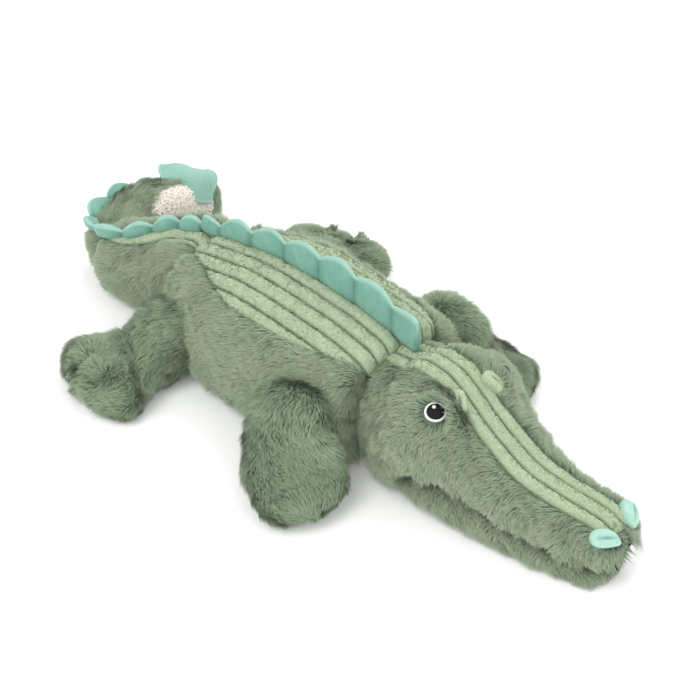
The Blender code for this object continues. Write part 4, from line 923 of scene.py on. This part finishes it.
torso, head, jaw = torso_form(), head_form(), jaw_form()
torso.skin, torso.eases = (TAIL_ROOT_RIM, TORSO_LENGTH - NECK_RIM), TORSO_EASES
tail_base = tail_form((NECK_PLACE - TORSO_LENGTH, 0, 0), 0, TAIL_FOLD_PLACE, TAIL_ROOT_RADIUS, 0)
tail_base.skin = (-TAIL_ROOT_RADIUS, TAIL_FOLD_PLACE - TAIL_FOLD_RIM)
tail_base.eases = (0, TAIL_EASE)
tail_tip = tail_form(tail_base.path[-1], TAIL_FOLD_PLACE, TAIL_LENGTH, TAIL_FOLD_RADIUS,
                     TAIL_TIP_ROUND)
legs = {}
for label, side in SIDES:
    legs["front_leg_" + label] = front_leg_form(side)
    legs["hind_leg_" + label] = hind_leg_form(side)


def rounded_places(form, rows, stop=None):
    """Places along a form, closer together in its round ends."""
    bend = np.sin(np.linspace(0, QUARTER_TURN, 14))[1:-1]
    places = np.linspace(0, form.full_end() if stop is None else stop, rows)
    if form.root_round:
        places = np.concatenate((-form.root_round * bend[::-1], places))
    if form.tip_round and stop is None:
        places = np.concatenate((places, form.full_end() + form.tip_round * bend))
    return places


def down_round(angle):
    """Which way round a section runs down its side, as a sign."""
    return -np.sign(np.cos(angle) + 1e-9)


def fur_facts(form, covered, ahead, down, pile, lean=constant(0), others=(), clears=(), whorls=(),
              swirl=1.0):
    """What the strands on a form need: where they grow, how long, and which way they lie."""
    def facts(place, angle, points):
        near_side = np.where(np.cos(angle) >= 0, angle, HALF_TURN - angle)
        near_side = np.arctan2(np.sin(near_side), np.cos(near_side))
        density = covered(place, angle, near_side).astype(float)
        for other in others:
            density[other.holds(points, -FUR_LAP)] = 0
        forward, around = form.tangents(place, angle)
        turn = (waves(points, 0.034, 11) * 0.40 + waves(points, 0.012, 12) * 0.35) * swirl
        comb = (forward * ahead(place)[:, None]
                + around * (down * down_round(angle))[:, None])
        normal = form.normal(place, angle)
        comb = unit(comb - normal * np.sum(comb * normal, axis=1, keepdims=True))
        comb = unit(comb + np.cross(normal, comb) * turn[:, None])
        for spot, spot_angle, radius in clears:
            for found in (spot_angle, HALF_TURN - spot_angle):
                away = points - form.point(np.array(spot), np.array(found))
                reach = np.linalg.norm(away, axis=1)
                density[reach < radius] = 0
                near = between(1 - (reach - radius) / CLEAR_REACH)[:, None]
                comb = unit(comb + unit(away) * near * 2)
        for whorl in whorls:
            away = points - whorl
            away = away - normal * np.sum(away * normal, axis=1, keepdims=True)
            near = hump(np.linalg.norm(away, axis=1), WHORL_REACH)[:, None]
            comb = unit(comb + unit(away) * near * 3)
        uneven = 1 + 0.14 * waves(points, 0.010, 21) + 0.10 * waves(points, 0.035, 22)
        leaned = lean(place, near_side) + 0.14 * waves(points, 0.009, 31) * swirl
        return {"density": density, "comb": comb, "pile": pile(place, near_side) * uneven,
                "lean": leaned}
    return facts


def pile_facts(form, pile):
    """What short loops or curls need: they stand up, each turned its own way."""
    def facts(place, angle, points):
        forward, around = form.tangents(place, angle)
        turn = waves(points, 0.004, 41) * 3
        comb = forward * np.cos(turn)[:, None] + around * np.sin(turn)[:, None]
        return {"density": np.ones(len(points)), "comb": comb,
                "pile": pile * (1 + 0.05 * waves(points, 0.006, 42)),
                "lean": np.zeros(len(points))}
    return facts


def wales(width, dents, whole=False):
    """Relief of ribbed cloth, with wales of an even width counted from the spine.

    The spine is the middle of a whole panel, on a crest, or else the panel's last edge.
    """
    def relief(place, part, run, across):
        total = across[:, -1:]
        turn = (across - total / 2) / width + 1 / 2 if whole else (total - across) / width
        room = np.minimum(across, total - across) if whole else across
        edge = between(room / WALE_EDGE)
        # crest sets the colour as well as the height: where it is low, in the grooves and at the
        # panel's edges, the paint turns to painted shade.
        crest = np.abs(np.sin(math.pi * turn)) ** 0.42 * np.sqrt(edge)
        dent = between(np.sin(2 * math.pi * run / DENT_PITCH + 2.2 * np.floor(turn)
                              + np.sin(run / DENT_DRIFT)) - 0.55) * dents
        height = -GROOVE_DEPTH + WALE_HEIGHT * crest * (1 - 0.6 * dent)
        return height, {"crest": crest}
    return relief


def own(made, body, nodes=()):
    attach(made, body)
    if nodes:
        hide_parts(*nodes)
    return made


def quads(rows, columns, start=0):
    """Faces between closed rows of vertices."""
    return [(a + j, a + k, a + columns + k, a + columns + j)
            for a in range(start, start + (rows - 1) * columns, columns)
            for j, k in ((j, (j + 1) % columns) for j in range(columns))]


def frill(body, form, stop, pitch, heights, sink, node, phase=0.0, crest=0.5, point=0.8,
          valley=VALLEY_SHARES, puff=1.15, curl=0.0, drift=0.0):
    """The velour frill: puffy scallops of two layers, thin at their sewn edge, with painted sheen
    there.

    The end past FLAP_FROM curls over to the form's left, by the angle curl, and its foot
    moves round the form that way, by the angle drift.
    """
    start = FRILL_END_GAP
    place = np.linspace(start, stop, int((stop - start) / pitch * FRILL_STEPS) + 1)
    share = (place - start) / (stop - start)
    tall = scaled(heights, 1, FRILL_HEIGHT)(share)
    turn = ((place - phase) / pitch) % 1.0
    turn = np.where(turn < crest, turn / crest / 2, 1 / 2 + (turn - crest) / (1 - crest) / 2)
    swing = np.sin(math.pi * turn)
    low = scaled(valley, 1, 1)(share)
    full = tall * (low + (1 - low) * swing ** point)
    _, _, left, up = form.frame(place)
    late = between((share - FLAP_FROM) / (1 - FLAP_FROM) * 2.5)
    if drift:
        angle = QUARTER_TURN - drift * late
        along = unit(np.gradient(form.point(place, angle), axis=0))
        up = form.normal(place, angle)
        beside = unit(np.cross(up, along))
        left = beside * np.sign(np.sum(beside * left, axis=-1, keepdims=True))
    else:
        angle = np.full(place.shape, QUARTER_TURN)
    foot = form.point(place, angle) - up * sink
    around = np.linspace(0, 1, 2 * FRILL_RISE_STEPS + 1)
    climb = np.where(around <= 0.5, 2 * around, 2 - 2 * around)
    climb = 1 - (1 - climb) ** 1.5
    sign = np.where(around < 0.5, 1.0, np.where(around > 0.5, -1.0, 0.0))
    belly = np.sin(math.pi * between(climb) ** 0.8) ** 0.7
    ridge = between((1 - climb) / 0.10)
    half = FRILL_SEAM + FRILL_THICKNESS * puff * (0.25 + 0.75 * swing ** 0.9)[:, None] * (
        0.35 * (1 - climb) + 0.75 * belly)[None, :] * (0.25 + 0.75 * ridge)[None, :]
    half = half + between((climb - 0.93) / 0.07)[None, :] * RIM_SEAM
    swung = curl * late[:, None] * np.minimum(climb / FLAP_HINGE, 1)[None, :]
    steps = np.diff(climb, prepend=0)[None, :]
    middle = (swung + np.roll(swung, 1, axis=1) * (around > 0)[None, :]) / 2
    rise = full[:, None] * np.cumsum(np.cos(middle) * steps, axis=1)
    over = full[:, None] * np.cumsum(np.sin(middle) * steps, axis=1)
    thick = half * sign[None, :]
    points = (foot[:, None, :]
              + up[:, None, :] * (rise - thick * np.sin(swung))[..., None]
              + left[:, None, :] * (over + thick * np.cos(swung))[..., None])
    # Painted sheen along the sewn edge and over the curled end.
    rim = np.maximum(between((climb - 0.86) / 0.08)[None, :],
                     (0.8 * late * (curl > 0))[:, None])
    # fold: painted shade at the foot and in the valleys between scallops.
    fold = np.maximum(between(1 - climb / 0.10)[None, :],
                      0.7 * (1 - swing[:, None]) ** 4 * (1 - rim))
    count_rows, columns = points.shape[:2]
    faces = quads(count_rows, columns)
    faces.append(tuple(range(columns))[::-1])
    faces.append(tuple((count_rows - 1) * columns + j for j in range(columns)))
    made = outward(mesh_object(body + "_frill", points.reshape(-1, 3), faces, velour,
                               {"rim": rim.ravel(), "fold": fold.ravel()}))
    own(made, body, [node + "_frill_left", node + "_frill_right"])


def head_pad(name, node, slot, look, side, place, angle, length, width, base, rise, dome,
             turn=0.0, ahead=0.0, around=0.0, rings=20, columns=48, crease=0.0, foot=0.0,
             square=1.0, flat=False):
    """A small pad sewn to the head, with a crease along its middle where it has one."""
    run = float(head.run(np.array(place), np.array(angle)))
    shares = np.sin(np.linspace(0, QUARTER_TURN, rings + 1))
    turns = np.linspace(0, 2 * math.pi, columns, endpoint=False)
    share, spin = np.meshgrid(shares, turns, indexing="ij")
    over, beside = (np.sign(v) * np.abs(v) ** square for v in (np.cos(spin), np.sin(spin)))
    x, y = share * over * length / 2, share * beside * width / 2
    top = base + rise * np.maximum(1 - share ** 2, 0) ** (dome / 2)
    dip = np.exp(-(y / (width * 0.09)) ** 2) * between(0.95 - np.abs(x) / (length / 2))
    top = top - crease * dip
    low = np.full(top.shape, foot)

    def laid(height):
        forth = x * math.cos(turn) - y * math.sin(turn)
        beside = x * math.sin(turn) + y * math.cos(turn)
        found = angle + (around + (0 if flat else beside)) / run
        found = found if side > 0 else HALF_TURN - found
        if flat:
            spot, found = np.array(place + ahead), np.array(found)
            along, round_it = head.tangents(spot, found)
            return (head.point(spot, found) + along * forth[..., None]
                    + round_it * (side * beside)[..., None]
                    + head.normal(spot, found) * height[..., None])
        return head.surface(place + ahead + forth, found, height)

    upper, lower = laid(top), laid(low)
    points = np.vstack((upper.reshape(-1, 3), lower.reshape(-1, 3)))
    far, last = (rings + 1) * columns, rings * columns
    faces = quads(rings + 1, columns) + quads(rings + 1, columns, far)
    faces += [(last + j, last + k, far + last + k, far + last + j)
              for j, k in ((j, (j + 1) % columns) for j in range(columns))]
    # The crease is painted darker as shade: fold darkens the velour, and a lower crest gives the
    # ribbed cloth its darker colour.
    fold = np.concatenate((dip.ravel() if crease else np.zeros(dip.size), np.zeros(dip.size)))
    made = outward(mesh_object(name, points, faces, look,
                               {"fold": fold, "crest": 1 - 0.8 * fold}))
    own(made, "head", [node])


FURRY, RIBS, CURLY = [], [], []


def furred(body, form, places, columns, covered, ahead, down, pile, covers, fill=0.7, look=fur,
           parts=(("_fur", 0),), inset=None, **facts):
    """A body's skin, kept for the fur that grows on it, on both sides or on one."""
    skin = closed(body + "_skin", form, places, columns, backing,
                  fur_facts(form, covered, ahead, down, pile, **facts), inset)
    FURRY.extend((body + ending, skin, body, look, side) for ending, side in parts)
    own(skin, body, [body + ending for ending in ("_stuffing", *covers)])


def ribs(name, body, form, places, low, high, columns, node, relief, side=1):
    made = panel(name, form, places, low, high, columns, ribbed, relief=relief, side=side,
                 facts=pile_facts(form, RIB_PILE))
    RIBS.append((made, body))
    own(made, body, [node])


def belly(name, body, form, places, seam, high, columns, node, share):
    made = panel(name, form, places, constant(-HALF_TURN - seam), high, columns, sherpa,
                 facts=pile_facts(form, CURL_LENGTH))
    CURLY.append((made, body, share))
    own(made, body, [node])


# Torso
SIDE_COVERS = ("_side_left", "_side_right")
SIDE_WALES = wales(WALE_WIDTH, 1.0)
back_edge = edge_of(BACK_PANEL_SHARES, TORSO_LENGTH)
tail_edge = edge_of(TAIL_PANEL_SHARES, TAIL_LENGTH)
face_edge = edge_of(FACE_PANEL_SHARES, HEAD_LENGTH)
spine = constant(QUARTER_TURN)
torso_places = np.linspace(*torso.skin, 110)
furred("torso", torso, torso_places, 150,
       lambda s, a, n: (n > TORSO_SEAM - SEAM_LAP) & (n < back_edge(s) + EDGE_LAP),
       constant(-0.75), 0.65,
       lambda s, n: (TORSO_PILE + FLANK_EXTRA * np.cos(n)
                     + RUMP_EXTRA * hump(s - TAIL_ROOT_RIM, RUMP_REACH)), SIDE_COVERS, 0.75,
       parts=(("_fur_left", 1), ("_fur_right", -1)), others=[head, tail_base, *legs.values()],
       lean=lambda s, n: 0.35 * hump(s - TAIL_ROOT_RIM, RUMP_LEAN_REACH))
for label, side in SIDES:
    ribs("torso_ribs_" + label, "torso", torso, np.linspace(*torso.skin, 240), back_edge, spine,
         60, "back_panel_" + label, SIDE_WALES, side)
belly("torso_belly", "torso", torso, torso_places, TORSO_SEAM, constant(TORSO_SEAM), 60,
      "belly_panel", 0.12)
frill("torso", torso, TORSO_LENGTH - FRILL_END_GAP, SCALLOP_PITCH, FRILL_TORSO_SHARES,
      BACK_FRILL_SINK, "back", SCALLOP_PHASE, crest=0.6, point=0.95, valley=BACK_VALLEY_SHARES)


# Head
def head_fur(s, a, n):
    lip = Curve([(THROAT_PLACE, -QUARTER_TURN), (JAW_PLACE, LIP_SEAM)])
    return (n > lip(s)) & ((n < face_edge(s) + EDGE_LAP) | (s > NOSE_FUR_PLACE))


def eye_fold(place, side):
    """How deep the skin draws in: it bulges out in a fold over each eye."""
    return (-EYE_FOLD * hump(place - EYE_FOLD_PLACE, EYE_FOLD_LENGTH)
            * hump(np.abs(side) - EYE_FOLD_OUT, EYE_FOLD_WIDTH))


def mouth_gaps(s):
    return sum(hump(s - place, MOUTH_GAP_HALF) for place in MOUTH_GAPS)


def face_pile(s, n):
    """Longer over the eye, at the nose and along the lip, where it leaves a few gaps open."""
    lip = hump(n - LIP_SEAM, LIP_REACH)
    nose = between((s - NOSE_FUR_PLACE + 0.008) / 0.010)
    upper = between((n - 0.35) / 0.4) * between((s - EYE_PLACE - 0.02) / 0.02)
    short = HEAD_PILE + (SNOUT_PILE - HEAD_PILE) * between(s / HEAD_LENGTH)
    return short * (1 + 0.10 * nose * (1 - upper) + 0.35 * upper * (1 - nose)
                    + lip * (1 + 0.2 * np.sin(s / LIP_WAVE)) - 1.5 * lip * mouth_gaps(s))


def face_lean(s, n):
    """The lip stands out over the mouth."""
    return -0.12 * hump(n - LIP_SEAM, LIP_REACH)


furred("head", head, rounded_places(head, 100), 150, head_fur,
       Curve([(0.0, -0.35), (0.145, -0.35), (0.172, 0.05)]), 0.85, face_pile, SIDE_COVERS, 0.75,
       inset=eye_fold, lean=face_lean, others=[torso],
       clears=[(EYE_PLACE + EYE_SHIFT, EYE_ANGLE, EYE_RADIUS + EYE_CLEAR),
               (BROW_PLACE, BROW_ANGLE + 0.06, BROW_CLEAR),
               (NOSTRIL_PLACE + 0.002, NOSTRIL_ANGLE, NOSTRIL_CLEAR)])
head_rows = np.concatenate((
    np.linspace(-NECK_PANEL_REACH, head.full_end(), 230), head.full_end()
    + head.tip_round * np.sin(np.linspace(0, QUARTER_TURN, 24))[1:-2]))
ribs("head_ribs", "head", head, head_rows[head_rows < NOSE_FUR_PLACE + PANEL_LAP], face_edge,
     lambda s: HALF_TURN - face_edge(s), 72, "head_top_panel", wales(FACE_WALE_WIDTH, 0.5, True))
own(panel("mouth_roof_lining", head, head_rows[head_rows >= JAW_PLACE],
          constant(-HALF_TURN - LIP_SEAM), constant(LIP_SEAM), 30, lining), "head",
    ["mouth_roof"])
for label, side in SIDES:
    for name, node, look, radius, height, rise, dome, more in (
            ("eye_white_patch_", "eye_white_", white_thread, 0.92 * EYE_RADIUS, EYE_RAISE,
             EYE_DOME, 0.4, {"foot": 0.0}),
            ("eye_pupil_", "eye_black_", black_thread, PUPIL_RADIUS, PUPIL_RAISE, PUPIL_DOME,
             0.5, {"foot": PUPIL_RAISE - SEWN_DEPTH}),
            ("eye_spark_", "eye_glint_", white_thread, GLINT_RADIUS, GLINT_RAISE, GLINT_DOME,
             0.5, {"foot": GLINT_RAISE - SEWN_DEPTH, "ahead": EYE_SHIFT - GLINT_SHIFT,
                   "around": 0.7 * GLINT_SHIFT, "rings": 6, "columns": 16})):
        head_pad(name + label, node + label, look.name.replace(" ", "_"), look, side, EYE_PLACE,
                 EYE_ANGLE, 2 * radius, 2 * radius, height, rise, dome, flat=True,
                 **{"ahead": EYE_SHIFT, **more})
    head_pad("brow_tuft_" + label, "brow_" + label, "ribbed_plush", ribbed, side, BROW_PLACE,
             BROW_ANGLE, BROW_LENGTH, BROW_WIDTH, BROW_FOOT, BROW_DOME, 0.4,
             BROW_TURN + QUARTER_TURN, ahead=-0.001, around=0.005, crease=BROW_CREASE, square=0.6)
    head_pad("nose_pad_" + label, "nostril_" + label, "mint_velour", mint, side, NOSTRIL_PLACE,
             NOSTRIL_ANGLE, 0.86 * NOSTRIL_LENGTH, 1.1 * NOSTRIL_WIDTH, NOSTRIL_FOOT,
             NOSTRIL_DOME, 0.7, NOSTRIL_TURN, around=-0.003, crease=NOSTRIL_CREASE, square=0.85)


# Jaw
def jaw_pile(s, n):
    return JAW_PILE * (1 - 0.7 * mouth_gaps(s + JAW_PLACE) * hump(n - JAW_SEAM, LIP_REACH))


jaw_places = rounded_places(jaw, 66)
furred("jaw", jaw, jaw_places, 100, lambda s, a, n: n < JAW_SEAM + JAW_LAP, constant(0.35), 0.75,
       jaw_pile, ("_cover",), others=[torso])
own(panel("jaw_floor_lining", jaw, jaw_places[12:], constant(JAW_SEAM),
          constant(HALF_TURN - JAW_SEAM), 30, lining, JAW_CLOTH_DEPTH), "jaw",
    ["jaw_lining"])

# Tail
tail_places = rounded_places(tail_base, 60, stop=tail_base.skin[1])
furred("tail_base", tail_base, tail_places, 110,
       lambda s, a, n: (n > BELLY_SEAM) & (n < tail_edge(s) + EDGE_LAP), constant(0.75), 0.6,
       lambda s, n: TAIL_PILE + TAIL_ROOT_EXTRA * hump(s, TAIL_ROOT_REACH), SIDE_COVERS,
       lean=lambda s, n: -0.25 * hump(s, TAIL_ROOT_REACH), others=[torso, tail_tip])
for label, side in SIDES:
    ribs("tail_ribs_" + label, "tail_base", tail_base,
         np.linspace(-TAIL_PANEL_REACH, tail_base.skin[1], 120), tail_edge, spine, 26,
         "tail_base_back_" + label, SIDE_WALES, side)
belly("tail_base_belly_cloth", "tail_base", tail_base, tail_places[12:], BELLY_SEAM,
      constant(BELLY_SEAM), 40, "tail_base_belly", 0.12)
frill("tail_base", tail_base, TAIL_FOLD_PLACE - FRILL_FOLD_GAP, TAIL_SCALLOP_PITCH,
      FRILL_TAIL_SHARES, TAIL_FRILL_SINK, "tail_base", puff=2.1)
tip_places = rounded_places(tail_tip, 60)
tip_seam = scaled(TIP_BELLY_SHARES, tail_tip.length, QUARTER_TURN)
tip_end = tail_tip.length - TIP_FUR_LENGTH
furred("tail_tip", tail_tip, tip_places, 110,
       lambda s, a, n: (n > np.where(np.cos(a) > 0, tip_seam(s), BELLY_SEAM)) | (s > tip_end),
       constant(0.75), 0.6, constant(TAIL_PILE), SIDE_COVERS, others=[tail_base])
belly("tail_tip_belly_cloth", "tail_tip", tail_tip,
      tip_places[(tip_places >= 0) & (tip_places < tip_end + PANEL_LAP)], BELLY_SEAM, tip_seam,
      50, "tail_tip_belly", 1.2)
frill("tail_tip", tail_tip, tail_tip.length - FRILL_TIP_GAP, TIP_SCALLOP_PITCH,
      FLOPPY_TIP_SHARES, BACK_FRILL_SINK, "tail_tip", valley=TIP_VALLEY_SHARES, puff=1.7,
      curl=FLAP_CURL, drift=FLAP_DRIFT)


# Legs
def foot_creases(place, side):
    """How deep the foot's top draws in between the toes and at the ankle."""
    ahead = place - FOOT_MIDDLE
    toe_gaps = between_toes(np.arctan2(side, ahead), TOE_CREASE_HALF_ANGLE)
    out = between(np.hypot(ahead, side) / (HIND_LEG_LENGTH - FOOT_MIDDLE))
    ankle = hump(place - ANKLE_PLACE - side * 0.25, ANKLE_HALF)
    return TOE_CREASE * toe_gaps * out * (ahead > 0) + ANKLE_CREASE * ankle


def toe_tops(form):
    """The middle of each toe, that its fur spreads from."""
    middle, along, left, up = form.frame(np.array(FOOT_MIDDLE))
    turns = [TOE_SPREAD * ((k + 1 / 2) / TOES - 1 / 2) for k in range(TOES)]
    return [middle + up * form.rise(FOOT_MIDDLE)
            + TOE_WHORL * (along * math.cos(turn) + left * math.sin(turn)) for turn in turns]


for name, form in legs.items():
    feet = {"whorls": toe_tops(form), "inset": foot_creases} if name.startswith("hind") else {}
    furred(name, form, rounded_places(form, 60), 110, lambda s, a, n: np.full(s.shape, True),
           constant(1.0), 0.0, lambda s, n: LEG_PILE + LEG_ROOT_EXTRA * hump(s, LEG_ROOT_REACH),
           ("_upper", "_under"), look=shaded_leg_fur, others=[torso], swirl=0.6, **feet)

# Fur, loops and curls
for seed, (name, base, body, look, side) in enumerate(FURRY):
    own(strands(name, base, STRAND, look, FUR_DENSITY, FUR_WIDTH, seed=10 * seed + 3,
                side=side), body)
for seed, (base, body) in enumerate(RIBS):
    own(strands(base.name + "_pile", base, SHORT_STRAND, ribbed_pile, RIB_DENSITY, RIB_WIDTH,
                seed=200 + seed, soft=0.85, pitch=0.25), body)
for seed, (base, body, share) in enumerate(CURLY):
    own(strands(base.name + "_curls", base, CURL, sherpa_curl, CURL_DENSITY * share, CURL_WIDTH,
                seed=300 + seed, soft=0.35, pitch=0.5), body)

for thing in (STRAND, SHORT_STRAND, CURL):
    bpy.data.objects.remove(thing)
for base in {row[1] for row in FURRY} | {row[0] for row in RIBS} | {row[0] for row in CURLY}:
    for label in ("comb", "density", "lean", "pile"):
        base.data.attributes.remove(base.data.attributes[label])

# Floor, light and camera
WHITE, FLOOR_HALF, CAMERA_DISTANCE = (1, 1, 1, 1), 4.0, 1.26
LIT_POINT, SEEN_POINT = Vector((0, 0, 0.03)), Vector((-0.002, 0.021, 0.030))
AZIMUTH, ELEVATION = math.radians(48), math.radians(36)
floor = material("studio floor", speckled(rgb(250, 250, 250), rgb(254, 254, 254), 3.0, 2.0))
glow = floor.node_tree.nodes["Principled BSDF"].inputs
glow["Emission Color"].default_value, glow["Emission Strength"].default_value = WHITE, 0.12
corners = [(x * FLOOR_HALF, y * FLOOR_HALF, 0.0) for x, y in ((-1, -1), (1, -1), (1, 1), (-1, 1))]
mesh_object("floor", np.array(corners), [(0, 1, 2, 3)], floor)


def put(name, data, place, back):
    """A light or camera that looks back along a direction."""
    made = bpy.data.objects.new(name, data)
    made.location, made.rotation_euler = place, (-back).to_track_quat("-Z", "Y").to_euler()
    bpy.context.scene.collection.objects.link(made)
    return made


for name, place, size, power in (("key light", (0.3, -1.5, 2.0), 1.6, 28),
                                 ("back light", (-0.6, 1.4, 1.7), 1.4, 16),
                                 ("fill light", (1.8, -0.2, 1.2), 1.4, 9)):
    lamp = bpy.data.lights.new(name, "AREA")
    lamp.shape, lamp.size, lamp.energy = "DISK", size, power
    put(name, lamp, place, Vector(place) - LIT_POINT)
world = bpy.data.worlds.new("studio")
bpy.context.scene.world = world
world.use_nodes = True
sky = world.node_tree.nodes["Background"].inputs
sky["Color"].default_value, sky["Strength"].default_value = WHITE, 0.75

back = Vector((math.sin(AZIMUTH) * math.cos(ELEVATION), -math.cos(AZIMUTH) * math.cos(ELEVATION),
               math.sin(ELEVATION)))
lens = bpy.data.cameras.new("camera")
lens.lens, lens.sensor_width, lens.clip_start, lens.clip_end = 92, 36, 0.05, 20
bpy.context.scene.camera = put("camera", lens, SEEN_POINT + back * CAMERA_DISTANCE, back)
bpy.context.scene.view_settings.view_transform = "Standard"
